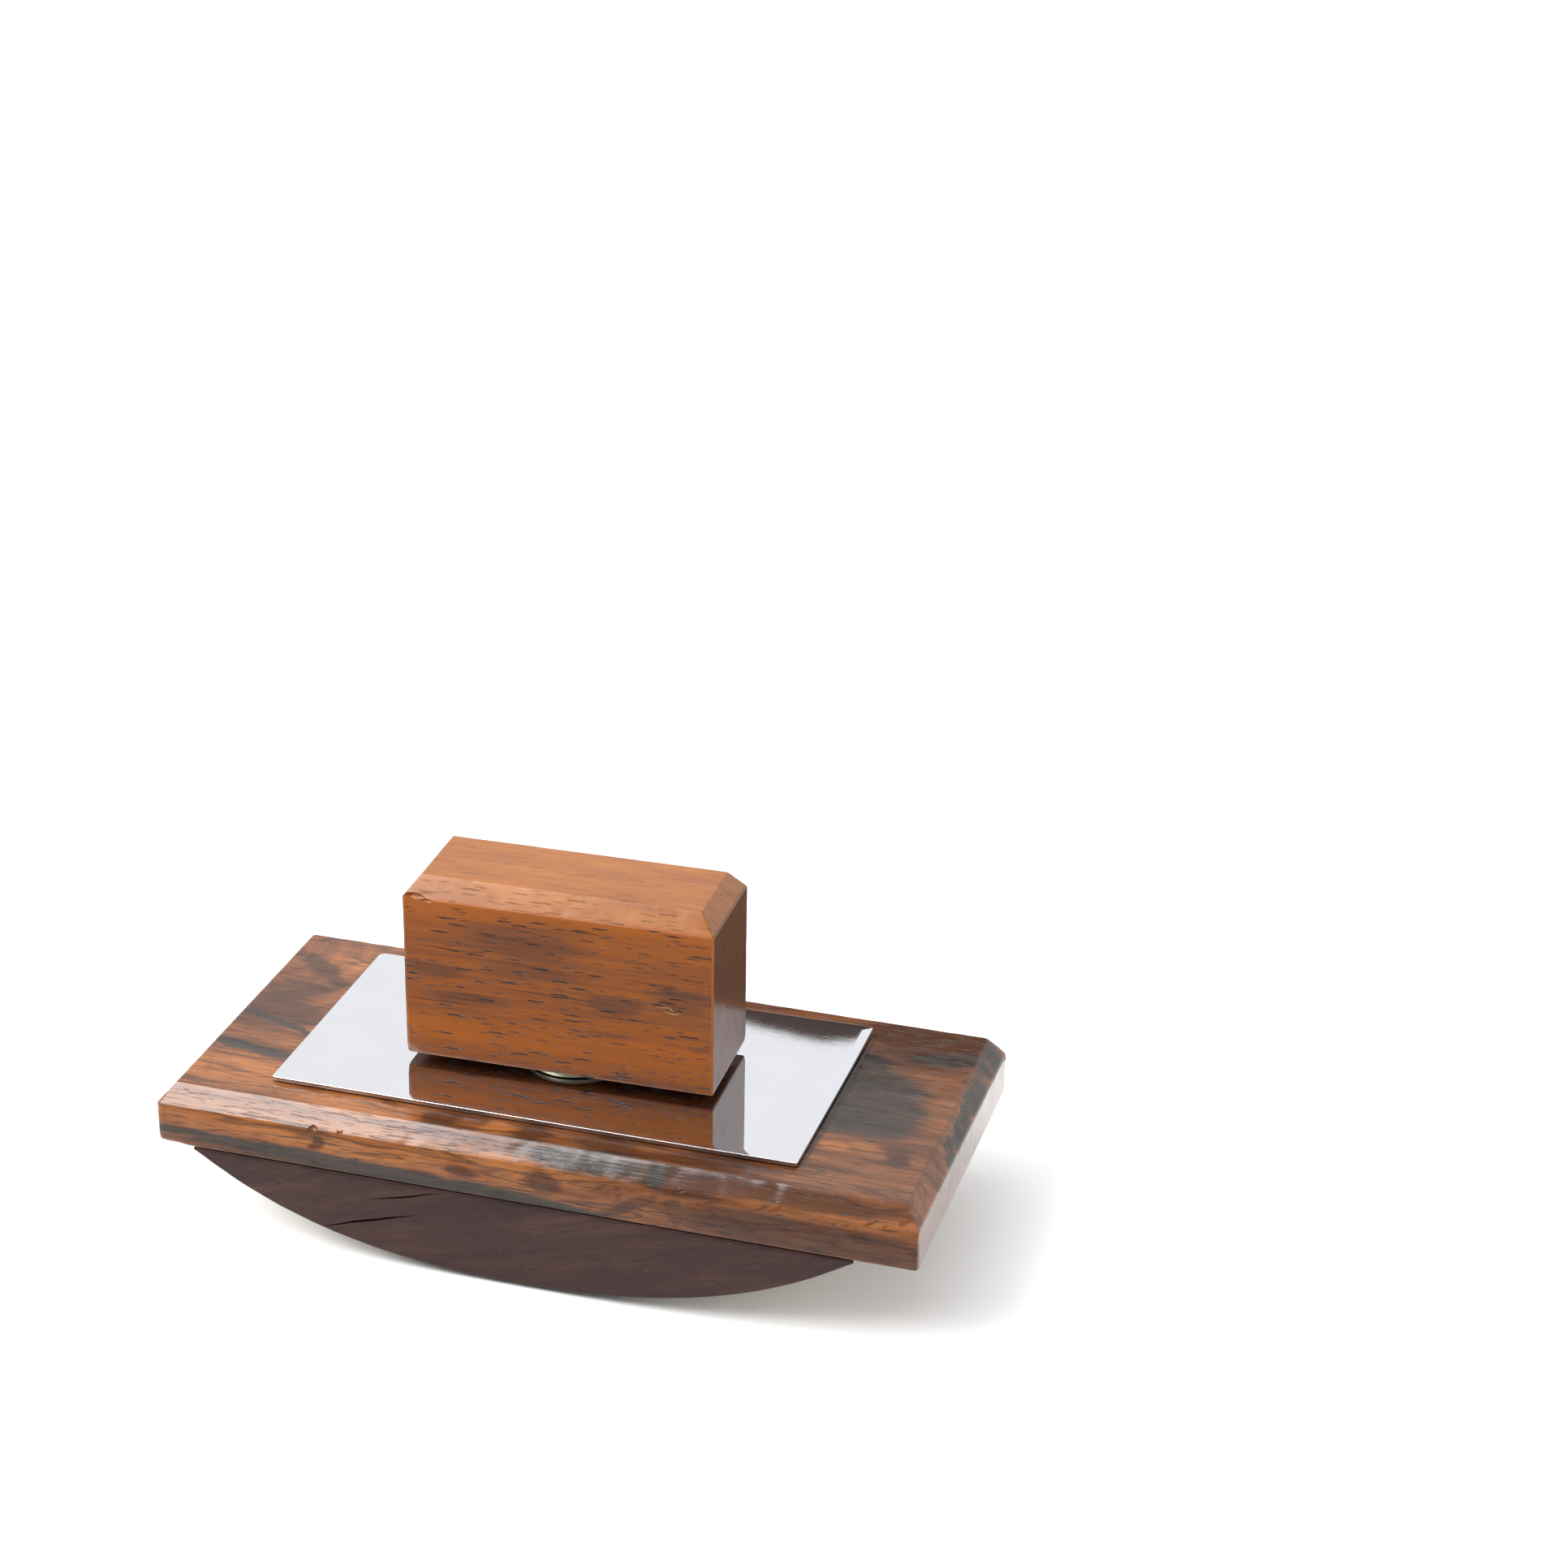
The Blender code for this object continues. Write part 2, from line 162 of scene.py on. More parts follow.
def smooth(piece, angle=40):
    piece.data.shade_smooth()
    piece.data.set_sharp_from_angle(angle=math.radians(angle))


def cut(piece, cutters):
    """Takes the cutters, each a bmesh, out of the piece for good."""
    for bm in cutters:
        bmesh.ops.recalc_face_normals(bm, faces=bm.faces)
        cutter = mesh_object("cutter", bm)
        boolean = piece.modifiers.new("cut", "BOOLEAN")
        boolean.solver = "EXACT"
        boolean.object = cutter
        graph = bpy.context.evaluated_depsgraph_get()
        result = bpy.data.meshes.new_from_object(piece.evaluated_get(graph))
        piece.modifiers.clear()
        piece.data = result
        bpy.data.objects.remove(cutter)


def fillet(points, radius, steps=4):
    """The (inset, height) line with its inner corners rounded."""
    line = [Vector(p) for p in points]
    out = [line[0]]
    for before, here, after in zip(line, line[1:], line[2:]):
        back, ahead = before - here, after - here
        half = back.angle(ahead) / 2
        reach = min(radius / math.tan(half), 0.45 * back.length, 0.45 * ahead.length)
        start, end = here + back.normalized() * reach, here + ahead.normalized() * reach
        for step in range(steps + 1):
            t = step / steps
            out.append(start * (1 - t) ** 2 + here * 2 * t * (1 - t) + end * t**2)
    return out + [line[-1]]


def refine(line, most):
    """The line with points added, so that none are further apart than most."""
    out = [line[0]]
    for a, b in zip(line, line[1:]):
        count = max(1, math.ceil((b - a).length / most))
        out += [a.lerp(b, step / count) for step in range(1, count + 1)]
    return out


def stations(half, step, corner):
    """Places from -1 to 1 across a side of that half length, closer together near its ends."""
    inner = half - corner
    count = max(2, round(2 * inner / step))
    middle = [inner * (2 * i / count - 1) for i in range(count + 1)]
    ends = [half - corner * share for share in (0.75, 0.5, 0.25, 0)]
    return [p / half for p in [-e for e in reversed(ends)] + middle + ends]


def skin(us, vs, rows, place):
    """A closed block: place(u, v, row) gives each point, and rows go from the bottom face to the top."""
    bm = bmesh.new()
    found = {}

    def vert(i, j, k):
        key = (i, j, k)
        if key not in found:
            found[key] = bm.verts.new(place(us[i], vs[j], k))
        return found[key]

    last_i, last_j, last_k = len(us) - 1, len(vs) - 1, rows - 1
    for k in (0, last_k):
        for i in range(last_i):
            for j in range(last_j):
                square = ((i, j), (i + 1, j), (i + 1, j + 1), (i, j + 1))
                bm.faces.new([vert(*corner, k) for corner in square])
    rim = [(i, 0) for i in range(last_i)] + [(last_i, j) for j in range(last_j)]
    rim += [(i, last_j) for i in range(last_i, 0, -1)] + [(0, j) for j in range(last_j, 0, -1)]
    for k in range(last_k):
        for (i, j), (m, n) in zip(rim, rim[1:] + rim[:1]):
            bm.faces.new([vert(i, j, k), vert(m, n, k), vert(m, n, k + 1), vert(i, j, k + 1)])
    return bm


def rounded(x, y, half_x, half_y, radii):
    """The point moved so that the rectangle's corners are round."""
    corner = (0 if y < 0 else 3) if x < 0 else (1 if y < 0 else 2)
    radius = radii[corner]
    dx, dy = abs(x) - half_x + radius, abs(y) - half_y + radius
    if dx <= 0 or dy <= 0:
        return x, y
    share = max(dx, dy) / math.hypot(dx, dy)
    return math.copysign(half_x - radius + dx * share, x), math.copysign(half_y - radius + dy * share, y)


def chamfered_side(low, high, chamfer, edge, run, step):
    """The (inset, height) line from a block's bottom face, up its side and over the chamfer to its top face.

    The points are about step apart on lines that run that far onto both faces, and end at FACE_RIM there."""
    across, down = chamfer
    corners = [(run, low), (0, low), (0, high - down), (across, high), (across + run, high)]
    middle = (low + high) / 2
    line = refine(fillet(corners, edge), step)
    return [p for p in line if p.x <= (across if p.y > middle else 0) + FACE_RIM]


def block(half_x, half_y, line, corners, step):
    """A block whose side follows the (inset, height) line, from its bottom face to its top face."""
    widest = max(corners)

    def place(u, v, k):
        inset, z = line[k]
        x, y = u * (half_x - inset), v * (half_y - inset)
        radii = [max(r - inset * 0.4, 0.3 * MM) for r in corners]
        return (*rounded(x, y, half_x - inset, half_y - inset, radii), z)

    return skin(stations(half_x, step, widest), stations(half_y, step, widest), len(line), place)


def turned(profile, steps, ring=False, shape=None):
    """The (radius, height) profile turned round Z, its radii passed through shape(radius, height, angle).

    A ring's profile is closed, any other starts and ends on the axis."""
    bm = bmesh.new()
    points = profile if ring else profile[1:-1]
    columns = []
    for step in range(steps):
        angle = 2 * math.pi * step / steps
        column = []
        for r, z in points:
            if shape:
                r = shape(r, z, angle)
            column.append(bm.verts.new((r * math.cos(angle), r * math.sin(angle), z)))
        columns.append(column)
    count = len(points)
    for step, column in enumerate(columns):
        after = columns[(step + 1) % steps]
        for i in range(count if ring else count - 1):
            j = (i + 1) % count
            bm.faces.new((column[i], after[i], after[j], column[j]))
    if not ring:
        for index, (_, z) in ((0, profile[0]), (-1, profile[-1])):
            tip = bm.verts.new((0, 0, z))
            for step, column in enumerate(columns):
                bm.faces.new((tip, column[index], columns[(step + 1) % steps][index]))
    return bm


def shifted(bm, offset):
    bmesh.ops.translate(bm, vec=Vector(offset), verts=bm.verts)
    return bm


def box_cutter(size, centre):
    bm = bmesh.new()
    bmesh.ops.create_cube(bm, size=1)
    bmesh.ops.scale(bm, vec=size, verts=bm.verts)
    return shifted(bm, centre)


def rod(radius, low, high, centre, steps=48):
    profile = [(0, low), (radius, low), (radius, high), (0, high)]
    return shifted(turned(profile, steps), (*centre, 0))


def chip(centre, reach, seed):
    """A cutter like a small broken lump, for a chip with crisp edges."""
    bm = bmesh.new()
    bmesh.ops.create_icosphere(bm, subdivisions=3, radius=1)
    for vert in bm.verts:
        rough = 1 + 0.28 * wander(vert.co, 0.45, seed)
        vert.co = Vector(c + v * r * rough for c, v, r in zip(centre, vert.co, reach))
    return bm


def push(bm, depth):
    """Moves every point inwards by depth(point), in metres."""
    bm.normal_update()
    for vert in bm.verts:
        vert.co -= vert.normal * depth(vert.co)


def dent(point, centre, reach, depth):
    """How deep a soft dent is at the point. reach is its half size along each axis."""
    away = math.sqrt(sum(((p - c) / r) ** 2 for p, c, r in zip(point, centre, reach)))
    return depth * max(0, 1 - away * away) ** 1.5


def wander(point, scale, seed):
    """Smooth noise from -1 to 1, whose bumps are about scale apart."""
    return noise.noise(Vector(point) / scale + Vector((seed, seed * 1.7, seed * 0.3)))


# ---- materials

FRONT_FACE = -38  # millimetres: marks in front of this Y are on the board's front face

# Marks in the board's rosewood and the handle's wood: centre and half size in millimetres, tilt in degrees.
PALE_MARKS = (
    ((-41, -41, 28.5), (46, 9, 4.2)),
    ((-8, -41, 28.5), (22, 9, 3.2)),
    ((-70, -27, 34), (17, 6.5, 5), -4),
    ((-65, 25, 34), (4.5, 2.6, 5), -25),
    ((59, -18.2, 34), (4.2, 1.6, 4), 6),
    ((66, -16.8, 34), (3.4, 1.4, 4)),
    ((-38, -33, 34), (18, 4, 4)),
    ((-8, -33, 34), (3, 3, 3)),
)
SLATE_MARKS = (
    ((61.5, 3, 34), (11.5, 13, 6)),
    ((67, -4, 34), (8, 9.5, 6)),
    ((58, -9, 34), (10, 4.5, 6)),
    ((57, 16, 34), (5, 6, 6)),
    ((74, 23.5, 34), (8, 3, 6), 15),
    ((-70, -17.6, 34), (15, 1.9, 3), -12),
    ((-70, -4.8, 34), (11, 0.9, 3), -20),
    ((80.5, 8, 31), (1.2, 17, 3), 6),
    ((-40, -39.4, 23.1), (49, 5, 1.6), -1.5),
    ((-4, -39.4, 21.9), (26, 5, 1.25), -2.5),
    ((12, -36.5, 32), (13, 3.2, 2.2)),
    ((27.5, -37.5, 32), (2.2, 3, 2.4)),
    ((82, -6, 31), (1.2, 9, 2.4)),
    ((81.6, 12, 31.4), (1.6, 9, 3)),
    ((81, 30, 32), (2.2, 4, 6), 25),
)
DUSK_MARKS = (
    ((67, 29, 34), (17, 12, 6)),
    ((73, -19, 34), (3, 4, 6)),
    ((-71, 20.5, 34), (11, 3, 5), -38),
    ((-71, 12.5, 34), (7, 1.2, 5), -18),
    ((-72, 0, 34), (12, 8, 5), -10),
    ((-21, -33, 34), (4.5, 3.5, 5)),
    ((-1, -33, 34), (3.4, 4, 6)),
    ((15, -33, 34), (8, 4, 4)),
    ((38, -33, 34), (16, 3.5, 4)),
    ((55, -39, 24), (34, 5, 4.6)),
    ((34, -38, 31), (14, 3, 3)),
    ((50, -37, 32), (36, 3.4, 3)),
    ((21, -39, 24.4), (8, 5, 1.5), 24),
    ((31, -39, 25), (2.2, 5, 4)),
    ((3, -39, 27), (4, 5, 3)),
    ((-50, -39, 21.6), (36, 5, 1.5), -1.5),
    ((-46.6, -39, 27), (1.7, 5, 2.2)),
    ((-15, -39, 26), (3, 5, 1.6)),
)
HANDLE_DUSK = (
    ((-7, -10, 66.5), (14, 12, 4.6)),
    ((-6, -10, 60), (13, 12, 2.2)),
    ((13, -10, 55.4), (6, 12, 2.6)),
    ((27, -10, 58), (8, 12, 3.6)),
    ((-19, -10, 51), (8, 12, 1.7)),
    ((-27, -10, 57.5), (7, 12, 2.2)),
    ((30, -10, 47), (2.6, 9, 0.9)),
    ((10, -10, 47.6), (9, 9, 0.7)),
)
HANDLE_BANDS_WITH_PAINTED_SHADE = (  # height from bottom 0 to top 1, and how light the wood is there; the two lowest stops are painted shade along the bottom edge
    (0, 0.36), (0.06, 0.48), (0.12, 0.76), (0.2, 0.74), (0.27, 0.56), (0.42, 0.5),
    (0.6, 0.46), (0.75, 0.55), (0.84, 0.7), (1, 0.75),
)
HANDLE_GRAIN = (
    ((-24, -13, 62.8), (10, 4, 0.2)),
    ((0, -13, 55.2), (16, 4, 0.2)),
    ((5, -13, 70.8), (6, 4, 0.22)),
    ((-26, -13, 50.3), (9, 4, 0.24)),
    ((-18, -13, 51.6), (7, 4, 0.22)),
    ((14, -13, 52), (10, 4, 0.18)),
    ((-10, -13, 67), (9, 4, 0.2)),
    ((20, -13, 61.4), (8, 4, 0.18)),
)


class Graph:
    """A material's nodes. Places in it are in millimetres, in the piece's own coordinates."""

    def __init__(self, name):
        self.material = bpy.data.materials.new(name)
        self.material.use_nodes = True
        self.tree = self.material.node_tree
        self.shader = self.tree.nodes["Principled BSDF"]
        own = self.node("ShaderNodeTexCoord").outputs["Object"]
        scaled = self.node("ShaderNodeVectorMath", {0: own, "Scale": 1 / MM}, operation="SCALE")
        self.place = scaled.outputs[0]
        self.x, self.y, self.z = self.node("ShaderNodeSeparateXYZ", {0: self.place}).outputs

    def node(self, kind, inputs=None, **settings):
        made = self.tree.nodes.new(kind)
        for name, value in settings.items():
            setattr(made, name, value)
        for name, value in (inputs or {}).items():
            self.put(made.inputs[name], value)
        return made

    def put(self, socket, value):
        if isinstance(value, bpy.types.NodeSocket):
            self.tree.links.new(value, socket)
        elif socket.type == "RGBA" and len(value) == 3:
            socket.default_value = (*value, 1)
        else:
            socket.default_value = value

    def set(self, **sockets):
        """Sets the shader's sockets, with _ for a space in their names."""
        for name, value in sockets.items():
            self.put(self.shader.inputs[name.replace("_", " ")], value)

    def math(self, operation, a, b=0, c=0):
        return self.node("ShaderNodeMath", {0: a, 1: b, 2: c}, operation=operation).outputs[0]

    def fold(self, operation, values):
        total = values[0]
        for value in values[1:]:
            total = self.math(operation, total, value)
        return total

    def add(self, *values):
        return self.fold("ADD", values)

    def times(self, *values):
        return self.fold("MULTIPLY", values)

    def most(self, *values):
        return self.fold("MAXIMUM", values)

    def vector(self, operation, a, b):
        return self.node("ShaderNodeVectorMath", {0: a, 1: b}, operation=operation).outputs[0]

    def join(self, x, y, z):
        return self.node("ShaderNodeCombineXYZ", {0: x, 1: y, 2: z}).outputs[0]

    def step(self, value, low, high, to=(0, 1)):
        """A soft step from to[0] at low to to[1] at high. Low may be above high."""
        if low > high:
            low, high, to = high, low, (to[1], to[0])
        inputs = {"Value": value, "From Min": low, "From Max": high, "To Min": to[0], "To Max": to[1]}
        return self.node("ShaderNodeMapRange", inputs, interpolation_type="SMOOTHSTEP").outputs[0]

    def noise(self, per_mm, detail=2, rough=0.5, at=None, bend=0):
        """Noise of per_mm waves a millimetre along each axis, about 0 to 1."""
        where = self.vector("MULTIPLY", self.place if at is None else at, per_mm)
        inputs = {"Vector": where, "Scale": 1, "Detail": detail, "Roughness": rough, "Distortion": bend}
        return self.node("ShaderNodeTexNoise", inputs).outputs[0]

    def swirl(self, per_mm, reach, at=None):
        """The place moved about by noise, up to about reach millimetres along each axis."""
        where = self.vector("MULTIPLY", self.place if at is None else at, per_mm)
        made = self.node("ShaderNodeTexNoise", {"Vector": where, "Scale": 1, "Detail": 2}).outputs[1]
        moved = self.vector("MULTIPLY", self.vector("SUBTRACT", made, (0.5,) * 3), [2 * r for r in reach])
        return self.vector("ADD", self.place if at is None else at, moved)

    def lean(self, degrees):
        """The place turned about Y, so that a figure along X rises to the right by that angle."""
        inputs = {"Vector": self.place, "Rotation": (0, math.radians(degrees), 0)}
        return self.node("ShaderNodeMapping", inputs, vector_type="POINT").outputs[0]

    def mix(self, share, a, b):
        return self.node("ShaderNodeMix", {"Factor": share, 6: a, 7: b}, data_type="RGBA").outputs[2]

    def ramp(self, value, *stops):
        """Colours along value, from stops of (place, colour)."""
        made = self.node("ShaderNodeValToRGB", {0: value})
        elements = made.color_ramp.elements
        elements[0].position, elements[0].color = stops[0][0], (*stops[0][1], 1)
        elements[1].position, elements[1].color = stops[-1][0], (*stops[-1][1], 1)
        for place, colour in stops[1:-1]:
            elements.new(place).color = (*colour, 1)
        return made.outputs[0]

    def spots(self, at, *places):
        """Distance from the nearest oval place, 1 on its edge. A place is (centre, half size, tilt if any).

        A long mark on the board's front face tilts in that face, about Y. Any other tilts about Z."""
        nearest = None
        for centre, reach, *tilt in places:
            angle = math.radians(tilt[0]) if tilt else 0
            on_front = centre[1] < FRONT_FACE and reach[2] < reach[1]
            turn = (0, -angle, 0) if on_front else (0, 0, angle)
            inputs = {"Vector": at, "Location": centre, "Rotation": turn, "Scale": reach}
            local = self.node("ShaderNodeMapping", inputs, vector_type="TEXTURE").outputs[0]
            away = self.node("ShaderNodeVectorMath", {0: local}, operation="LENGTH").outputs["Value"]
            nearest = away if nearest is None else self.math("MINIMUM", nearest, away)
        return nearest

    def dashes(self, along, across, share, size):
        """Short dark pore lines along X, each in a cell of its own.

        along and across are cells per mm, share is the share of cells with a line, and size is the longest
        line as a part of its cell."""
        ragged = self.noise((0.7, 1.5, 1.5))
        level = self.add(self.z, self.times(self.y, 0.8), self.times(ragged, 0.5))
        run = self.add(self.x, self.times(ragged, 3))
        at = self.join(self.times(run, along), self.times(level, across), 0)
        cells = self.node("ShaderNodeTexVoronoi", {"Vector": at, "Scale": 1}, voronoi_dimensions="2D")
        # Blue, because red also places the cell's point along X, which would stand the lines in columns.
        chance = self.node("ShaderNodeSeparateColor", {0: cells.outputs["Color"]}).outputs[2]
        reach = self.step(chance, 1 - share, 1, (0, size))
        return self.step(self.math("SUBTRACT", cells.outputs["Distance"], reach), 0, -0.35 * size)

    def bump(self, height, depth):
        """height 0 to 1, as a surface depth millimetres deep."""
        inputs = {"Height": height, "Distance": depth * MM, "Strength": 1}
        self.set(Normal=self.node("ShaderNodeBump", inputs).outputs[0])


def rosewood():
    g = Graph("rosewood_figure")
    warped = g.swirl((0.03, 0.07, 0.07), (5, 3, 2))
    feathered = g.swirl((0.16, 0.55, 0.55), (2.4, 1.1, 0.6), g.swirl((0.05, 0.11, 0.11), (4, 1.6, 0.8)))
    streaks = g.noise((0.022, 0.3, 0.3), 4, 0.6, warped)
    fine = g.noise((0.1, 2.4, 2.4), 3, 0.6)
    cloud = g.noise((0.035, 0.08, 0.08), 3, 0.55, warped)
    hair = g.noise((0.25, 7, 7))

    # The left end's figure curls round a centre near its back corner, as round a knot.
    curl = g.vector("MULTIPLY", g.vector("SUBTRACT", warped, (-80, 28, 30)), (1, 0.9, 0.5))
    around = g.node("ShaderNodeVectorMath", {0: curl}, operation="LENGTH").outputs["Value"]
    rings = g.noise((0.22, 0.06, 0), 3, 0.6, g.join(around, g.x, 0))
    near = g.step(g.spots(warped, ((-80, 20, 34), (26, 36, 12))), 1.1, 0.7)
    streaks = g.add(g.times(streaks, g.math("SUBTRACT", 1, near)), g.times(rings, near))
    tone = g.add(g.times(streaks, 0.62), g.times(cloud, 0.34), g.times(fine, 0.26), g.times(hair, 0.1))

    pale = g.spots(feathered, *PALE_MARKS)
    pale = g.step(g.add(pale, g.times(fine, 0.5), g.times(streaks, 0.3)), 1.75, 0.9)
    slate = g.spots(feathered, *SLATE_MARKS)
    slate = g.step(g.add(slate, g.times(fine, 0.6), g.times(hair, 0.25)), 1.75, 1.15)
    dusk = g.spots(feathered, *DUSK_MARKS)
    dusk = g.step(g.add(dusk, g.times(streaks, 0.9)), 1.7, 1.05)
    # Cloudy upright smudges on the front face, and thin dark lines that follow the grain.
    cloudy = g.noise((0.13, 0.05, 0.55), 4, 0.65, g.lean(22))
    smudge = g.step(g.add(cloudy, g.times(hair, 0.12)), 0.6, 0.7)
    smudge = g.times(smudge, g.step(g.y, -34, -38), g.step(g.x, -20, 20, (0.35, 1)))
    drift = g.noise((0.014, 0.15, 0.15), 2, 0.5, warped)
    veins = g.step(g.math("ABSOLUTE", g.add(drift, -0.5)), 0.02, 0.004)

    colour = g.ramp(
        tone,
        (0.42, (0.04, 0.016, 0.009)),
        (0.58, (0.105, 0.034, 0.012)),
        (0.72, (0.19, 0.066, 0.021)),
        (0.9, (0.28, 0.104, 0.034)),
    )
    shade = g.add(fine, g.times(streaks, 0.6))
    light = g.ramp(shade, (0.5, (0.2, 0.062, 0.013)), (1.05, (0.43, 0.155, 0.04)))
    colour = g.mix(g.times(pale, g.step(g.y, -38, -38.6, (0.7, 0.58))), colour, light)
    dark = g.ramp(fine, (0.3, (0.034, 0.012, 0.006)), (0.75, (0.088, 0.028, 0.01)))
    colour = g.mix(g.times(g.most(dusk, g.times(smudge, 0.85)), 0.86), colour, dark)
    colour = g.mix(g.times(veins, 0.55), colour, (0.026, 0.012, 0.009))
    shade = g.add(g.times(fine, 0.45), g.times(streaks, 0.65))
    black = g.ramp(shade, (0.4, (0.008, 0.009, 0.009)), (0.72, (0.05, 0.038, 0.03)))
    colour = g.mix(g.times(slate, 0.93), colour, black)
    polish_rosewood(g, colour, fine)
    return g.material


def polish_rosewood(g, colour, fine):
    """The board's wear, pores, lacquer and relief, and a painted shadow line by the plate, over the wood's
    colour.
    """
    # The top is browner to the right of the plate.
    brown = g.times(g.step(g.x, 50, 60, (0, 0.2)), g.step(g.z, 33.2, 33.8))
    colour = g.mix(brown, colour, (0.03, 0.015, 0.01))
    # Painted shadow and reflection: a dark line on the board along the plate's right edge.
    plate_edge_shadow = g.spots(g.swirl((0.2, 0.2, 0.2), (0.3, 0, 0)), ((55.2, 0.5, 34), (1.3, 34, 2)))
    colour = g.mix(g.times(g.step(plate_edge_shadow, 1, 0.6), 0.7), colour, (0.018, 0.01, 0.008))
    pores = g.step(g.noise((0.22, 3.2, 3.2), 1, 0.4), 0.63, 0.69)
    colour = g.mix(g.times(pores, 0.6), colour, (0.016, 0.008, 0.006))
    # The chamfer at the front: hair cracks along its left part, rubbed grey patches near the middle.
    edge = g.times(g.step(g.y, -35.2, -35.7), g.step(g.z, 29.6, 30.2))
    crack = g.step(g.noise((0.05, 2.2, 2.2), 2, 0.5, g.lean(-1)), 0.6, 0.64)
    crack = g.times(crack, edge, g.step(g.x, -12, -22))
    colour = g.mix(g.times(crack, 0.75), colour, (0.045, 0.018, 0.012))
    edge_mark = g.step(g.noise((0.55, 1.1, 1.1), 4, 0.65), 0.46, 0.64)
    edge_mark = g.times(edge_mark, edge, g.step(g.x, -14, -4), g.step(g.x, 27, 20))
    colour = g.mix(g.times(edge_mark, 0.3), colour, (0.16, 0.155, 0.16))
    g.set(Base_Color=colour, IOR=1.4)
    # The lacquer is thick and clear on the right end, and still whole on the chamfer's left part.
    coat = g.most(g.step(g.x, 82, 82.3, (0, 0.7)), g.times(edge, g.step(g.x, -8, -24, (0, 0.25))))
    g.set(Coat_Weight=coat, Coat_Roughness=0.12)
    cloud = g.noise((0.08, 0.25, 0.25), 3)
    g.set(Roughness=g.add(0.11, g.times(cloud, 0.12), g.times(pores, 0.2), g.times(edge, -0.055)))
    pits = g.times(g.add(pores, crack), -0.8)
    g.bump(g.add(pits, g.times(fine, 0.35), g.times(g.noise((0.05, 0.09, 0.09)), 2)), 0.045)


def amber_wood():
    g = Graph("amber_figure")
    warped = g.swirl((0.025, 0.08, 0.1), (3, 2, 1.3))
    _, _, height = g.node("ShaderNodeSeparateXYZ", {0: warped}).outputs
    lines = g.noise((0.018, 0.3, 0.6), 4, 0.65, warped)
    fine = g.noise((0.09, 1.6, 2.6), 3, 0.6)
    level = g.node("ShaderNodeMapRange", {"Value": height, "From Min": 37, "From Max": 78}).outputs[0]
    # The two lowest bands darken the bottom edge as painted shade.
    band = g.ramp(level, *((place, (tone,) * 3) for place, tone in HANDLE_BANDS_WITH_PAINTED_SHADE))
    feathered = g.swirl((0.12, 0.4, 0.5), (3, 0.8, 0.9), warped)
    dusk = g.spots(feathered, *HANDLE_DUSK)
    dusk = g.step(g.add(dusk, g.times(lines, 0.9)), 1.8, 1)
    tone = g.add(0.11, g.times(band, 0.46), g.times(lines, 0.4), g.times(fine, 0.24), g.times(dusk, -0.13))
    colour = g.ramp(
        tone,
        (0.42, (0.08, 0.034, 0.02)),
        (0.58, (0.165, 0.052, 0.017)),
        (0.72, (0.24, 0.068, 0.011)),
        (0.95, (0.34, 0.086, 0.004)),
    )
    top = g.ramp(
        g.add(g.times(g.noise((0.05, 0.22, 0.2), 3), 0.7), g.times(fine, 0.35)),
        (0.4, (0.225, 0.067, 0.011)),
        (0.62, (0.292, 0.095, 0.013)),
        (0.8, (0.35, 0.125, 0.02)),
    )
    colour = g.mix(g.step(g.add(g.z, g.times(fine, 2)), 73.8, 76.2), colour, top)
    end = g.step(g.math("ABSOLUTE", g.x), 33.1, 33.5)
    speckle = g.noise((4, 2.4, 0.5), 3)
    speckle = g.ramp(speckle, (0.35, (0.056, 0.017, 0.005)), (0.7, (0.108, 0.033, 0.008)))
    colour = g.mix(g.times(end, 0.85), colour, speckle)
    dash = g.most(g.dashes(0.12, 1.15, 0.55, 0.32), g.times(g.dashes(0.2, 1.9, 0.5, 0.34), 0.75))
    dash = g.times(dash, g.step(end, 0.5, 0))
    grain = g.spots(g.swirl((0.1, 0.3, 0.3), (0, 0, 0.5)), *HANDLE_GRAIN)
    grain = g.step(g.add(grain, g.times(fine, 0.8)), 1.5, 0.8)
    colour = g.mix(g.times(grain, 0.65), colour, (0.045, 0.02, 0.014))
    # The chamfer's pores are worn shallow, and the polished top's are filled.
    faint = g.times(g.step(g.z, 73.2, 74.2, (1, 0.55)), g.step(g.z, 76.6, 77.4, (1, 0.4)))
    colour = g.mix(g.times(dash, faint, 0.88), colour, (0.02, 0.01, 0.009))
    # Painted highlight: a bright line along the upright edge at the front right.
    edge_mark = g.step(g.math("SUBTRACT", g.x, g.y), 46.02, 46.22)
    colour = g.mix(g.times(edge_mark, 0.5, g.step(g.y, -12, -12.4)), colour, (0.46, 0.15, 0.03))
    # A small bright scuff on the front.
    ragged = g.swirl((0.6, 0.6, 0.6), (1.2, 0, 0.8))
    scuff = g.spots(ragged, ((23.6, -12.9, 56), (2.6, 1, 0.25)), ((25, -12.9, 55.2), (2.2, 1, 0.2)))
    colour = g.mix(g.times(g.step(scuff, 1.2, 0.5), 0.5), colour, (0.42, 0.22, 0.1))
    g.set(Base_Color=colour, IOR=1.4)
    cloud = g.noise((0.1, 0.3, 0.3), 3)
    g.set(Roughness=g.add(0.18, g.times(cloud, 0.14), g.times(dash, 0.2), g.times(end, -0.04)))
    pits = g.times(dash, faint, -0.9)
    g.bump(g.add(pits, g.times(fine, 0.3), g.times(g.noise((0.06, 0.12, 0.12)), 1.6)), 0.035)
    return g.material


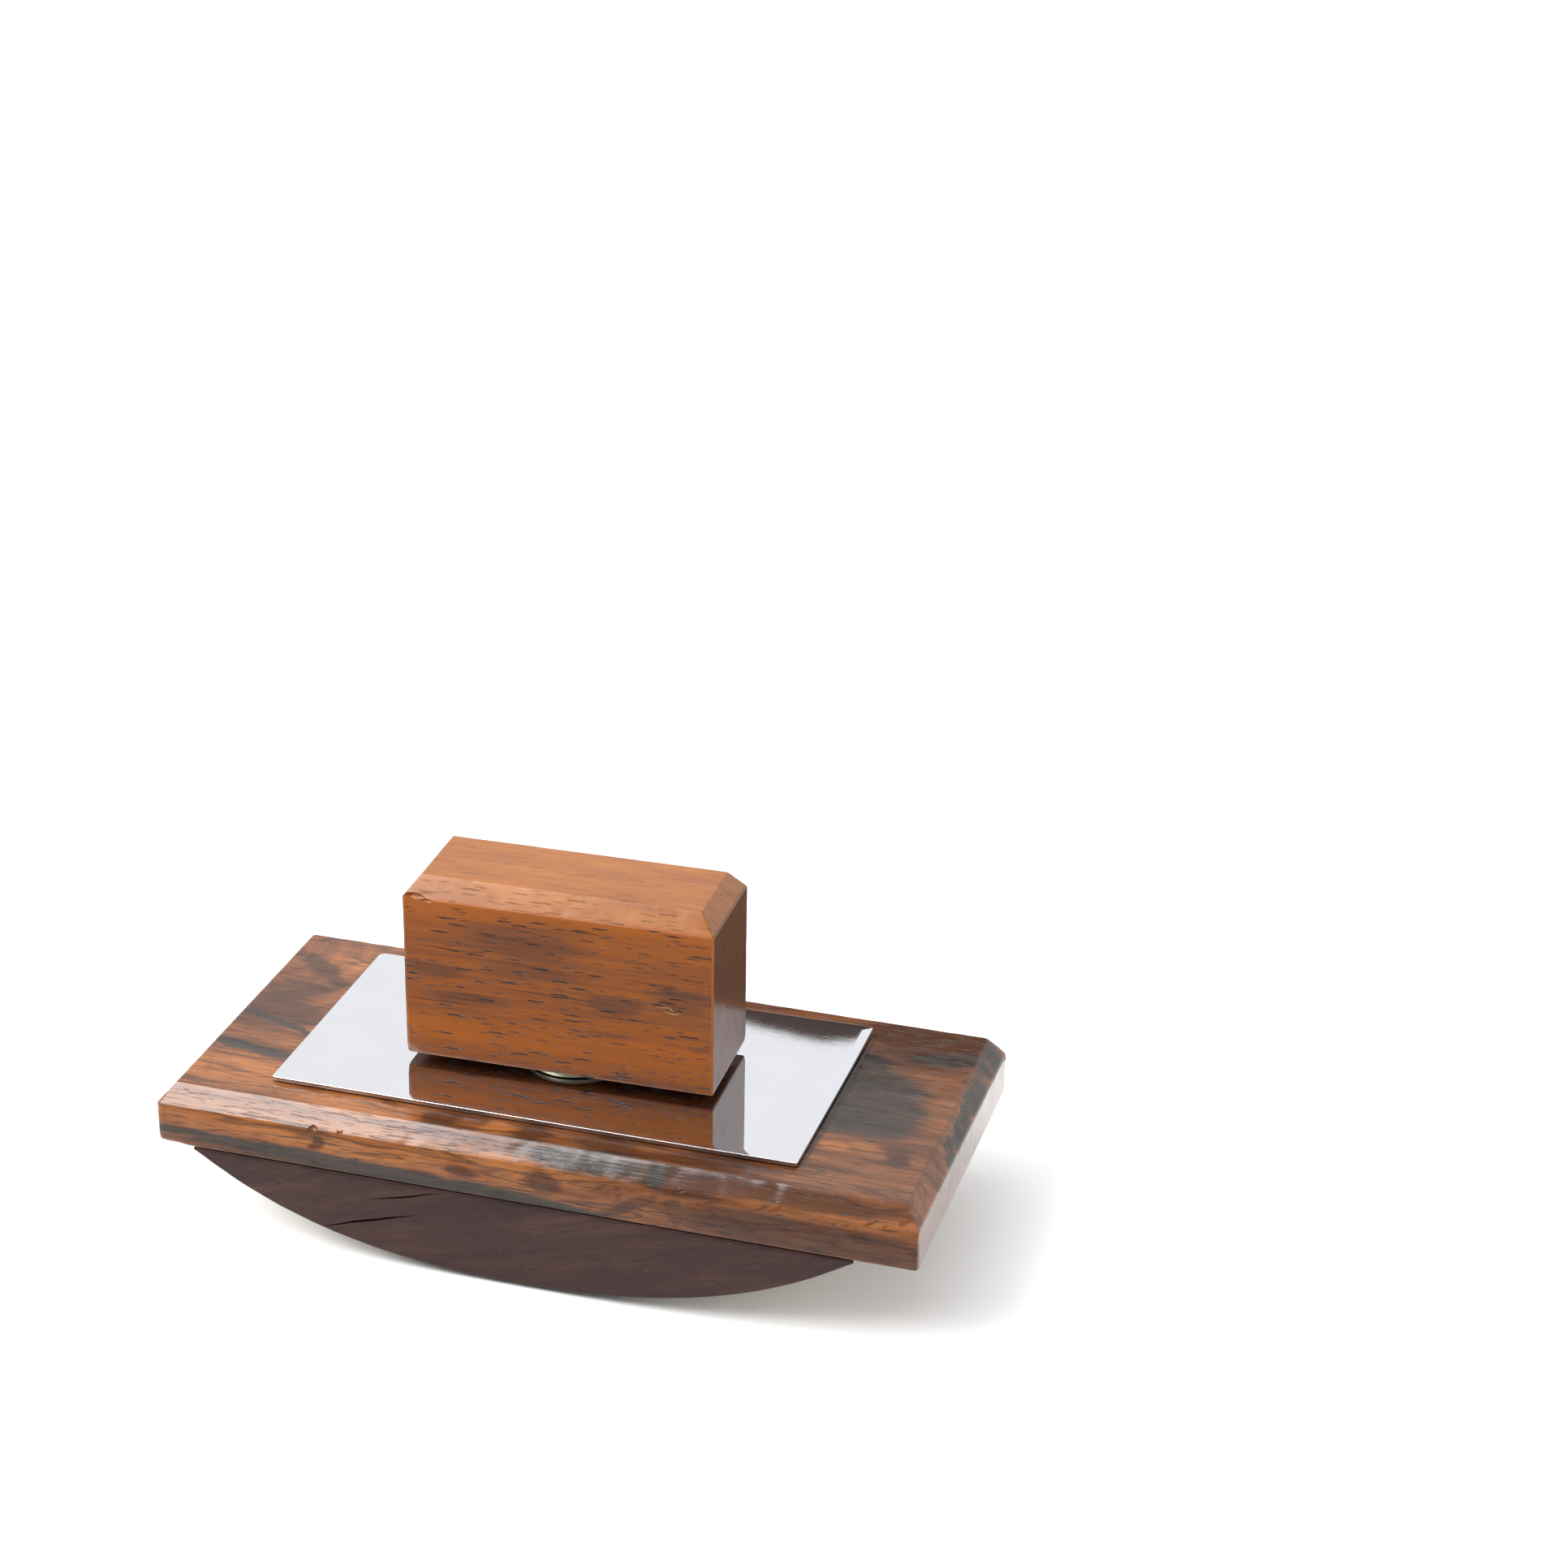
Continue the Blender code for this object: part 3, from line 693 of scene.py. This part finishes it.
def dark_wood():
    g = Graph("dark_figure")
    grain = g.lean(16)  # the block's grain runs out of its faces, as its cracks do
    warped = g.swirl((0.03, 0.06, 0.08), (4, 3, 2), grain)
    lines = g.noise((0.03, 0.3, 0.3), 4, 0.6, warped)
    fine = g.noise((0.22, 2.2, 2.2), 3, 0.6, grain)
    tone = g.add(0.1, g.times(lines, 0.55), g.times(fine, 0.3))
    colour = g.ramp(
        tone,
        (0.36, (0.022, 0.01, 0.009)),
        (0.55, (0.038, 0.016, 0.013)),
        (0.76, (0.08, 0.033, 0.021)),
    )
    pores = g.step(g.noise((0.3, 3, 3), 1), 0.68, 0.75)
    colour = g.mix(g.times(pores, 0.5), colour, (0.014, 0.009, 0.008))
    dust = g.step(g.noise((1.3, 1.3, 1.3), 1), 0.775, 0.8)
    colour = g.mix(g.times(dust, 0.5), colour, (0.3, 0.26, 0.22))
    g.set(Base_Color=colour, IOR=1.34)
    g.set(Roughness=g.add(0.36, g.times(g.noise((0.2, 0.5, 0.5), 3), 0.16)))
    g.bump(g.add(g.times(pores, -0.8), g.times(fine, 0.5), g.times(lines, 0.8)), 0.06)
    return g.material


def metal(name, colour, rough, scratch, along=(0.15, 5, 5), dull=0.1):
    """A metal with fine scratches along one way and faintly cloudy polish."""
    g = Graph(name)
    lines = g.noise(along, 2, 0.6)
    cloud = g.noise((0.09, 0.09, 0.09), 3, 0.6)
    darker = [c * (1 - dull) for c in colour]
    g.set(Base_Color=g.mix(g.step(cloud, 0.35, 0.7), darker, colour), Metallic=1)
    g.set(Roughness=g.add(rough, g.times(g.step(lines, 0.62, 0.8), rough * 1.5), g.times(cloud, rough * 0.6)))
    g.bump(g.add(lines, g.times(g.noise((0.03, 0.03, 0.03)), 1.5)), scratch)
    return g.material


def pale_dowel_wood():
    g = Graph("beech_figure")
    lines = g.noise((1.2, 1.2, 0.12), 3, 0.6)
    colour = g.ramp(lines, (0.35, (0.38, 0.22, 0.11)), (0.65, (0.56, 0.38, 0.22)))
    flecks = g.step(g.noise((3, 3, 0.7), 1), 0.64, 0.72)
    g.set(Base_Color=g.mix(g.times(flecks, 0.5), colour, (0.25, 0.13, 0.06)))
    g.set(Roughness=g.add(0.5, g.times(lines, 0.2)))
    g.bump(lines, 0.05)
    return g.material


def blotting():
    """Thick, soft unsized paper: fibres, a cloudy formation and a few faint blots of dried ink."""
    g = Graph("blotting_paper_fibre")
    fibres = g.noise((1.6, 1.6, 1.6), 5, 0.75, bend=1.5)
    cloud = g.noise((0.12, 0.12, 0.12), 4, 0.65)
    tone = g.add(g.times(fibres, 0.4), g.times(cloud, 0.6))
    colour = g.ramp(tone, (0.35, (0.62, 0.57, 0.49)), (0.65, (0.78, 0.74, 0.66)))
    blots = g.noise((0.1, 0.13, 0.1), 4, 0.7, bend=0.8)
    blots = g.step(g.add(blots, g.times(fibres, 0.06)), 0.7, 0.76)
    colour = g.mix(g.times(blots, 0.45), colour, (0.1, 0.13, 0.26))
    g.set(Base_Color=colour, Roughness=g.add(0.85, g.times(fibres, 0.1)))
    g.set(Sheen_Weight=0.25, Sheen_Roughness=0.5)
    g.bump(g.add(fibres, g.times(cloud, 0.5)), 0.1)
    return g.material


# ---- pieces


def dowels():
    """Each locating dowel as its side, lowest and highest Z, and (x, y) place."""
    for side in ("left", "right"):
        lo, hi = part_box(f"locating_dowel_{side}")
        yield side, lo.z, hi.z, ((lo.x + hi.x) / 2, 0)


def build_board(axis, material):
    lo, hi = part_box("top_board")
    line = chamfered_side(lo.z, hi.z, BOARD_CHAMFER, BOARD_EDGE, run=9 * MM, step=1.1 * MM)
    bm = block((hi.x - lo.x) / 2, (hi.y - lo.y) / 2, line, BOARD_CORNERS, step=0.9 * MM)

    def depth(p):
        worn = 0.1 * MM * max(0, wander(p, 3 * MM, 3.1)) + 0.03 * MM * abs(wander(p, 9 * MM, 7.7))
        # A knock under the front left corner, and one on the back right corner.
        worn += dent(p, (-80.5 * MM, lo.y, lo.z), mm(5, 4, 1.6), 0.8 * MM)
        worn += dent(p, (hi.x, hi.y, hi.z - 3 * MM), mm(3, 3, 3), 0.35 * MM)
        on_bottom = p.z < lo.z + 0.9 * MM
        return worn * (0.5 if on_bottom else 1)

    push(bm, depth)
    board = add_piece("board_panel", bm, material, "top_board", "board")
    cutters = [rod(HOLE_RADIUS, lo.z - OVERSHOOT, hi.z + OVERSHOOT, axis)]
    for _, _, top, place in dowels():
        cutters.append(rod(DOWEL_RADIUS + CLEAR, lo.z - OVERSHOOT, top + CLEAR, place))
    lip = hi.z - BOARD_CHAMFER[1]
    for x, up, reach, seed in BOARD_CHIPS:
        cutters.append(chip((x, lo.y, lip + up), reach, seed))
    cut(board, cutters)
    smooth(board)


def build_handle(axis, material):
    """Drawn round its own screw's axis, then turned to where it comes up tight."""
    lo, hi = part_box("handle_block")
    half_x, half_y = HANDLE_SIZE[0] / 2, HANDLE_SIZE[1] / 2
    line = chamfered_side(lo.z, hi.z, HANDLE_CHAMFER, HANDLE_EDGE, run=5 * MM, step=0.8 * MM)
    bm = block(half_x, half_y, line, HANDLE_CORNERS, step=0.7 * MM)

    def depth(p):
        worn = 0.05 * MM * max(0, wander(p, 2.5 * MM, 1.3)) + 0.02 * MM * abs(wander(p, 8 * MM, 5.2))
        return worn + dent(p, (-half_x, -half_y, lo.z), mm(3, 2, 2.4), 0.2 * MM)

    push(bm, depth)
    ease_in, ease_up = HANDLE_EASE
    for vert in bm.verts:
        ease = max(0, 1 - (vert.co.z - lo.z) / ease_up) * ease_in
        vert.co.y = min(vert.co.y, half_y - ease)
    handle = add_piece("handle_grip", bm, material, "handle_block", "handle")
    skew = Matrix.Rotation(math.radians(HANDLE_SKEW), 4, "Z")
    handle.matrix_world = Matrix.Translation((*axis, 0)) @ skew
    pocket_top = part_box("handle_insert")[1].z + CLEAR
    cutters = [
        rod(INSERT_RADIUS + CLEAR, lo.z - OVERSHOOT, pocket_top, axis),
        rod(HOLE_RADIUS, lo.z - OVERSHOOT, lo.z + HANDLE_HOLE, axis),
    ]
    for (x, y, z), reach, seed in HANDLE_CHIPS:
        broken = chip((-half_x + x, -half_y + y, hi.z + z), reach, seed)
        broken.transform(handle.matrix_world)
        cutters.append(broken)
    cut(handle, cutters)
    smooth(handle)


def rocker_rise(x):
    run = max(0, abs(x) - ROCKER_FLAT / 2)
    return RISE_2 * run**2 + RISE_4 * run**4


def crack_path(start, end, seed, count=14):
    """A slightly wandering line of (x, z) from start to end."""
    a, b = Vector(start), Vector(end)
    side = Vector((a.y - b.y, b.x - a.x)).normalized()
    out = []
    for i in range(count + 1):
        t = i / count
        swing = wander((t * 3, seed, 0), 1, seed) * 0.5 * MM * math.sin(math.pi * t)
        out.append(tuple(a.lerp(b, t) + side * swing))
    return out


def crack(points, width, deep, face_y):
    """A blade-shaped cutter along points of (x, z) on the face, widest and deepest in its middle."""
    bm = bmesh.new()
    count = len(points) - 1
    outer = face_y - 1 * MM
    rings = []
    for i, (x, z) in enumerate(points):
        share = math.sin(math.pi * (i + 0.15) / (count + 0.3))
        half = width / 2 * share
        inner = face_y + deep * share
        corners = ((outer, -half), (outer, half), (inner, half * 0.2), (inner, -half * 0.2))
        rings.append([bm.verts.new((x, y, z + up)) for y, up in corners])
    for a, b in zip(rings, rings[1:]):
        for i in range(4):
            j = (i + 1) % 4
            bm.faces.new((a[i], b[i], b[j], a[j]))
    bm.faces.new(rings[0])
    bm.faces.new(rings[-1])
    return bm


def build_rocker(axis, material):
    lo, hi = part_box("rocker_block")
    half_x, half_y = (hi.x - lo.x) / 2, (hi.y - lo.y) / 2
    # A quarter round from the block's side to a face, as (inset, rise) in radii, and the rows that it makes.
    quarter = [(1 - math.sin(a), 1 - math.cos(a)) for a in reversed(np.linspace(0, math.pi / 2, 5))]
    rows = [("low", inset, rise) for inset, rise in reversed(quarter)]
    rows += [("side", 0, i / 22) for i in range(1, 22)]
    rows += [("high", inset, rise) for inset, rise in quarter]

    def place(u, v, k):
        kind, inset, share = rows[k]
        x = u * half_x
        low = lo.z + rocker_rise(x)
        tall = hi.z - low
        radius = min(ROCKER_EDGE, 0.3 * tall)
        y = v * (half_y - inset * radius)
        if kind == "low":
            z = low + share * radius
        elif kind == "high":
            z = hi.z - share * radius
        else:
            z = low + radius + share * (tall - 2 * radius)
        return (axis[0] + x, y, z)

    us = stations(half_x, step=0.9 * MM, corner=1 * MM)
    vs = stations(half_y, step=2.4 * MM, corner=1 * MM)
    bm = skin(us, vs, len(rows), place)

    def depth(p):
        worn = 0.07 * MM * max(0, wander(p, 3 * MM, 2.3)) + 0.05 * MM * abs(wander(p, 10 * MM, 4.1))
        # A small dent at the left of the front face.
        return worn + dent(p, (-55.4 * MM, lo.y, 15.5 * MM), mm(1, 1, 0.6), 0.4 * MM)

    push(bm, depth)
    rocker = add_piece("rocker_body", bm, material, "rocker_block", "rocker")
    top = hi.z + OVERSHOOT
    head_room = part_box("bolt_washer")[1].z + CLEAR
    cutters = []
    for start, end, width, deep, seed in ROCKER_CRACKS:
        cutters.append(crack(crack_path(start, end, seed), width, deep, lo.y))
    cutters.append(rod(HOLE_RADIUS, lo.z - OVERSHOOT, top, axis))
    cutters.append(rod(COUNTERBORE_RADIUS, lo.z - OVERSHOOT, head_room, axis))
    floor = hi.z - PAPER_THICKNESS - CLEAR
    for side, bottom, _, centre in dowels():
        sign = -1 if side == "left" else 1
        cutters.append(rod(DOWEL_RADIUS + CLEAR, bottom - CLEAR, top, centre))
        inner = axis[0] + sign * (half_x - TURN_IN - CLEAR)
        outer = axis[0] + sign * (half_x + OVERSHOOT)
        size = (abs(outer - inner), PAPER_POCKET, top - floor)
        cutters.append(box_cutter(size, ((inner + outer) / 2, 0, (top + floor) / 2)))
    cut(rocker, cutters)
    smooth(rocker)


def offset_line(line, distance):
    """The line of (x, z) moved to its right side."""
    out = []
    for i, (x, z) in enumerate(line):
        before, after = Vector(line[max(i - 1, 0)]), Vector(line[min(i + 1, len(line) - 1)])
        along = (after - before).normalized()
        out.append((x + along.y * distance, z - along.x * distance))
    return out


def mirrored(line):
    """The line of (x, z) on the other side of X = 0, run the other way."""
    return [(-x, z) for x, z in reversed(line)]


def paper_section():
    """The strip's outer and inner lines of (x, z), from one turned-in end to the other."""
    lo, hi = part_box("rocker_block")
    half = (hi.x - lo.x) / 2
    floor = hi.z - PAPER_THICKNESS - CLEAR
    right = [(x, lo.z + rocker_rise(x)) for x in (half * i / 60 for i in range(61))]
    under = [p for p in mirrored(right[1:]) + right if p[1] < floor - PAPER_THICKNESS]
    tip, bend, end = half + CLEAR, half + CLEAR - 4 * MM, half - TURN_IN
    bed = floor + CLEAR
    top = bed + PAPER_THICKNESS
    outside = [(tip + PAPER_THICKNESS, floor), (tip + PAPER_THICKNESS * 0.85, bed + 0.25 * MM)]
    outside += [(tip, top), (bend, top), (end, top)]
    inside = [(tip, floor), (tip - 0.1 * MM, floor + 0.2 * MM), (half, bed), (bend, bed), (end, bed)]
    outer = mirrored(outside) + offset_line(under, CLEAR + PAPER_THICKNESS) + outside
    return outer, mirrored(inside) + offset_line(under, CLEAR) + inside


def build_paper(axis, material):
    """One strip round the rocker, its ends turned in under the board.

    Its long edges are softly uneven, as torn or cut paper is."""
    lo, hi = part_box("blotting_paper")
    vs = stations((hi.y - lo.y) / 2, step=4 * MM, corner=0.5 * MM)
    bm = bmesh.new()
    sheets = []
    for line in paper_section():
        sheet = []
        for i, (x, z) in enumerate(line):
            rough = 0.18 * MM * wander((i * 0.9, 0, 0), 1, 5)
            reach = (hi.y - lo.y) / 2 - abs(rough)
            sheet.append([bm.verts.new((axis[0] + x, v * reach, z)) for v in vs])
        sheets.append(sheet)
    for sheet in sheets:
        for a, b in zip(sheet, sheet[1:]):
            for j in range(len(vs) - 1):
                bm.faces.new((a[j], b[j], b[j + 1], a[j + 1]))
    low, high = sheets
    for j in (0, len(vs) - 1):
        for i in range(len(low) - 1):
            bm.faces.new((low[i][j], low[i + 1][j], high[i + 1][j], high[i][j]))
    for i in (0, len(low) - 1):
        for j in range(len(vs) - 1):
            bm.faces.new((low[i][j], low[i][j + 1], high[i][j + 1], high[i][j]))
    smooth(add_piece("blotting_strip", bm, material, "blotting_paper", "rocker"))


def build_plate(axis, material):
    """A thin sheet that is flat only at its middle. Its back right corner is bent up a little."""
    lo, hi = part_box("chrome_plate")
    half_x, half_y = PLATE_SIZE[0] / 2, PLATE_SIZE[1] / 2
    run = 2 * MM
    line = fillet([(run, lo.z), (0, lo.z), (0, hi.z), (run, hi.z)], PLATE_EDGE)
    bm = block(half_x, half_y, line, PLATE_CORNERS, step=1.5 * MM)
    for vert in bm.verts:
        p = vert.co
        corner = max(0, (p.x / half_x + p.y / half_y - 1.15) / 0.85)
        middle = max(0, 1 - math.hypot(p.x, p.y) / PLATE_FLAT)
        wave = PLATE_WAVE * (1 + wander((p.x, p.y, 0), 26 * MM, 2)) * (1 - middle)
        p.z += PLATE_BEND * corner**2 + wave
    bm = shifted(bm, (*axis, 0))
    plate = add_piece("mirror_sheet", bm, material, "chrome_plate", "board")
    cut(plate, [rod(HOLE_RADIUS, lo.z - OVERSHOOT, hi.z + OVERSHOOT, axis)])
    smooth(plate, angle=50)


def ring(node, axis, edge, bends, steps):
    """A ring that fills the round node's box, with the bolt's hole through it and soft edges."""
    lo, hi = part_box(node)
    outer = (hi.x - lo.x) / 2
    corners = [(HOLE_RADIUS, lo.z), (outer, lo.z), (outer, hi.z), (HOLE_RADIUS, hi.z), (HOLE_RADIUS, lo.z)]
    rim = [tuple(p) for p in fillet(corners, edge, bends)[:-1]]
    return shifted(turned(rim, steps, ring=True), (*axis, 0))


def build_collar(axis, material):
    bm = ring("collar", axis, COLLAR_EDGE, bends=5, steps=96)
    smooth(add_piece("collar_ring", bm, material, "collar", "collar"))


def build_washer(axis, material):
    bm = ring("bolt_washer", axis, WASHER_EDGE, bends=3, steps=64)
    smooth(add_piece("screw_washer", bm, material, "bolt_washer", "rocker"))


def thread(base, outward=True):
    """Radius of a 60 degree thread at a height and angle, cut into base or standing out of it."""

    def shape(r, z, angle):
        if abs(r - base) > SAME_RADIUS:
            return r
        phase = (z / THREAD_PITCH - angle / (2 * math.pi)) % 1
        tooth = min(1, abs(phase - 0.5) * 2.6)
        return r - THREAD_DEPTH * tooth if outward else r - THREAD_DEPTH * (1 - tooth)

    return shape


def build_bolt(axis, material):
    lo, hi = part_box("clamp_bolt")
    head_radius, head_height = BOLT_HEAD
    head_top = lo.z + head_height
    crown, soft, row = 1.1 * MM, 0.2 * MM, 0.1 * MM
    turn = np.linspace(0, math.pi / 2, 9)
    dome = [(head_radius * math.sin(a), lo.z + crown * (1 - math.cos(a))) for a in turn]
    rows = int((hi.z - head_top - 1.2 * MM) / row)
    neck = BOLT_RADIUS - 0.35 * MM
    head = [(head_radius, head_top - soft), (head_radius - soft, head_top), (neck, head_top)]
    shank = [(BOLT_RADIUS, head_top + 0.4 * MM + row * i) for i in range(rows + 1)]
    tip = [(BOLT_RADIUS - 0.7 * MM, hi.z), (0, hi.z)]
    bm = turned(dome + head + shank + tip, 40, shape=thread(BOLT_RADIUS))
    bolt = add_piece("clamp_screw", shifted(bm, (*axis, 0)), material, "clamp_bolt", "rocker")
    slot_width, slot_depth = BOLT_SLOT
    cut(bolt, [box_cutter((30 * MM, slot_width, 2 * slot_depth), (axis[0], 0, lo.z))])
    smooth(bolt)


def build_insert(axis, material):
    """A flanged, knurled insert with the bolt's thread inside."""
    lo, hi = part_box("handle_insert")
    body = INSERT_RADIUS - 0.5 * MM
    knurl_row, thread_row = 0.2 * MM, 0.1 * MM
    rows = int((hi.z - lo.z - 2.4 * MM) / knurl_row)
    flange = [(INSERT_RADIUS, lo.z), (INSERT_RADIUS, lo.z + 0.8 * MM), (body - 0.2 * MM, lo.z + 1.2 * MM)]
    outside = [(body, lo.z + 1.6 * MM + knurl_row * i) for i in range(rows)] + [(body - 0.3 * MM, hi.z)]
    inside = [(HOLE_RADIUS, hi.z - thread_row * i) for i in range(int((hi.z - lo.z) / thread_row) + 1)]
    threaded = thread(HOLE_RADIUS, outward=False)

    def shape(r, z, angle):
        if abs(r - body) > SAME_RADIUS:
            return threaded(r, z, angle)
        turns, climb = angle * 16 / (2 * math.pi), z / (1.4 * MM)
        return r - 0.22 * MM * (abs((turns + climb) % 1 - 0.5) + abs((turns - climb) % 1 - 0.5))

    bm = shifted(turned(flange + outside + inside, 64, ring=True, shape=shape), (*axis, 0))
    smooth(add_piece("threaded_insert", bm, material, "handle_insert", "handle"))


def flute(r, z, angle):
    """A dowel's radius, with fourteen flutes along its side."""
    return r - 0.12 * MM * max(0, math.cos(14 * angle)) if abs(r - DOWEL_RADIUS) < SAME_RADIUS else r


def build_dowels(material):
    tip = DOWEL_RADIUS - DOWEL_CHAMFER
    for side, low, high, place in dowels():
        straight = high - low - 2 * DOWEL_CHAMFER
        body = [(DOWEL_RADIUS, low + DOWEL_CHAMFER + straight * i / 8) for i in range(9)]
        profile = [(0, low), (tip, low), *body, (tip, high), (0, high)]
        bm = shifted(turned(profile, 84, shape=flute), (*place, 0))
        node = f"locating_dowel_{side}"
        smooth(add_piece(f"fluted_dowel_{side}", bm, material, node, "rocker"))


# ---- stage


def stage_piece(name, bm, colour, rough, specular):
    """A plainly coloured piece of the set, which isn't part of the object."""
    made = mesh_object(name, bm)
    material = bpy.data.materials.new(name)
    material.use_nodes = True
    shader = material.node_tree.nodes["Principled BSDF"]
    shader.inputs["Base Color"].default_value = (*colour, 1)
    shader.inputs["Roughness"].default_value = rough
    shader.inputs["Specular IOR Level"].default_value = specular
    made.data.materials.append(material)
    return made


def build_floor():
    bm = bmesh.new()
    bmesh.ops.create_grid(bm, x_segments=1, y_segments=1, size=4)
    stage_piece("studio_floor", bm, (0.86, 0.86, 0.86), rough=0.9, specular=0)


def softbox(name, azimuth, elevation, distance, width, height, radiance):
    """An area light that faces the object. Azimuth 0 is in front of it and 90 to its left."""
    a, e = math.radians(azimuth), math.radians(elevation)
    away = Vector((-math.sin(a) * math.cos(e), -math.cos(a) * math.cos(e), math.sin(e)))
    light = bpy.data.lights.new(name, "AREA")
    light.shape = "RECTANGLE"
    light.size, light.size_y = width, height
    light.energy = radiance * math.pi * width * height
    lamp = add_object(name, light)
    lamp.location = away * distance
    lamp.rotation_euler = away.to_track_quat("Z", "Y").to_euler()


def build_world():
    """A white tent, open and darker low in front, where the camera stands."""
    world = bpy.data.worlds.new("studio")
    bpy.context.scene.world = world
    world.use_nodes = True
    tree = world.node_tree
    way = tree.nodes.new("ShaderNodeTexCoord").outputs["Generated"]
    lean = tree.nodes.new("ShaderNodeVectorMath")
    lean.operation = "DOT_PRODUCT"
    tree.links.new(way, lean.inputs[0])
    lean.inputs[1].default_value = (0, 1, 0.35)
    strength = tree.nodes.new("ShaderNodeMapRange")
    strength.interpolation_type = "SMOOTHSTEP"
    for name, value in (("From Min", -0.8), ("From Max", -0.05), ("To Min", 0.2), ("To Max", 1.28)):
        strength.inputs[name].default_value = value
    tree.links.new(lean.outputs["Value"], strength.inputs["Value"])
    background = tree.nodes["Background"]
    background.inputs["Color"].default_value = (0.985, 0.99, 1, 1)
    tree.links.new(strength.outputs[0], background.inputs["Strength"])


def dark_card(name, corners, colour):
    """A flat card beside the set, which shows only in glossy surfaces."""
    bm = bmesh.new()
    bm.faces.new([bm.verts.new(corner) for corner in corners])
    card = stage_piece(name, bm, colour, rough=0.8, specular=0.5)
    for kind in ("camera", "diffuse", "shadow", "transmission", "volume_scatter"):
        setattr(card, f"visible_{kind}", False)


def flat_card(name, low, high, colour):
    """A dark card that lies just over the floor, from the (x, y) corner low to high."""
    z = 2 * MM
    corners = [(low[0], low[1], z), (high[0], low[1], z), (high[0], high[1], z), (low[0], high[1], z)]
    dark_card(name, corners, colour)


def build_stage():
    """White light from the left and above, and dark cards for what the plate and the board reflect."""
    build_floor()
    build_world()
    softbox("key_softbox", azimuth=52, elevation=47, distance=1.3, width=0.92, height=0.62, radiance=10.3)
    softbox("top_softbox", azimuth=100, elevation=78, distance=1.4, width=0.7, height=0.7, radiance=2)
    wood = (0.045, 0.022, 0.014)
    flat_card("low_flag", (0.035, 0.085), (0.12, 0.26), wood)
    flat_card("front_flag", (-0.4, -0.7), (0.5, -0.078), (0.12, 0.11, 0.1))
    # The rounded edge of the inkstand, as (x, z), which the plate's back right corner mirrors.
    top = [(-0.06, 0.1), (-0.016, 0.1), (-0.013, 0.1095), (-0.0015, 0.1126), (0.008, 0.1153)]
    top += [(0.016, 0.1168), (0.0185, 0.114), (0.022, 0.112), (0.062, 0.112)]
    outline = [(-0.06, 0.078), *top, (0.062, 0.078)]
    dark_card("high_flag", [(x, 0.15, z) for x, z in outline], wood)
    bpy.context.scene.view_settings.view_transform = "Standard"


def build_camera():
    data = bpy.data.cameras.new("camera")
    data.sensor_width = CAMERA_SENSOR
    data.lens = CAMERA_LENS
    camera = add_object("camera", data)
    camera.location = CAMERA_PLACE
    camera.rotation_euler = [math.radians(angle) for angle in CAMERA_TURN]
    bpy.context.scene.camera = camera


for startup in list(bpy.data.objects):
    bpy.data.objects.remove(startup, do_unlink=True)
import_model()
build_camera()
build_stage()
collar_low, collar_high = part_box("collar")
AXIS = ((collar_low.x + collar_high.x) / 2, (collar_low.y + collar_high.y) / 2)
build_board(AXIS, rosewood())
build_handle(AXIS, amber_wood())
build_rocker(AXIS, dark_wood())
build_paper(AXIS, blotting())
build_plate(AXIS, metal("mirror_chrome", (0.634, 0.642, 0.668), 0.018, 0.0006, dull=0.02))
# Painted shade: the collar's nickel colour is darkened for the shade under the handle.
build_collar(AXIS, metal("worn_nickel_with_painted_shade", (0.42, 0.4, 0.29), 0.3, 0.02))
build_bolt(AXIS, metal("turned_steel", (0.5, 0.5, 0.51), 0.28, 0.02, (4, 4, 1), 0.25))
build_washer(AXIS, metal("flat_steel", (0.52, 0.52, 0.53), 0.32, 0.02, (2, 2, 4), 0.25))
build_insert(AXIS, metal("turned_brass", (0.72, 0.52, 0.22), 0.24, 0.02, (4, 4, 1), 0.25))
build_dowels(pale_dowel_wood())
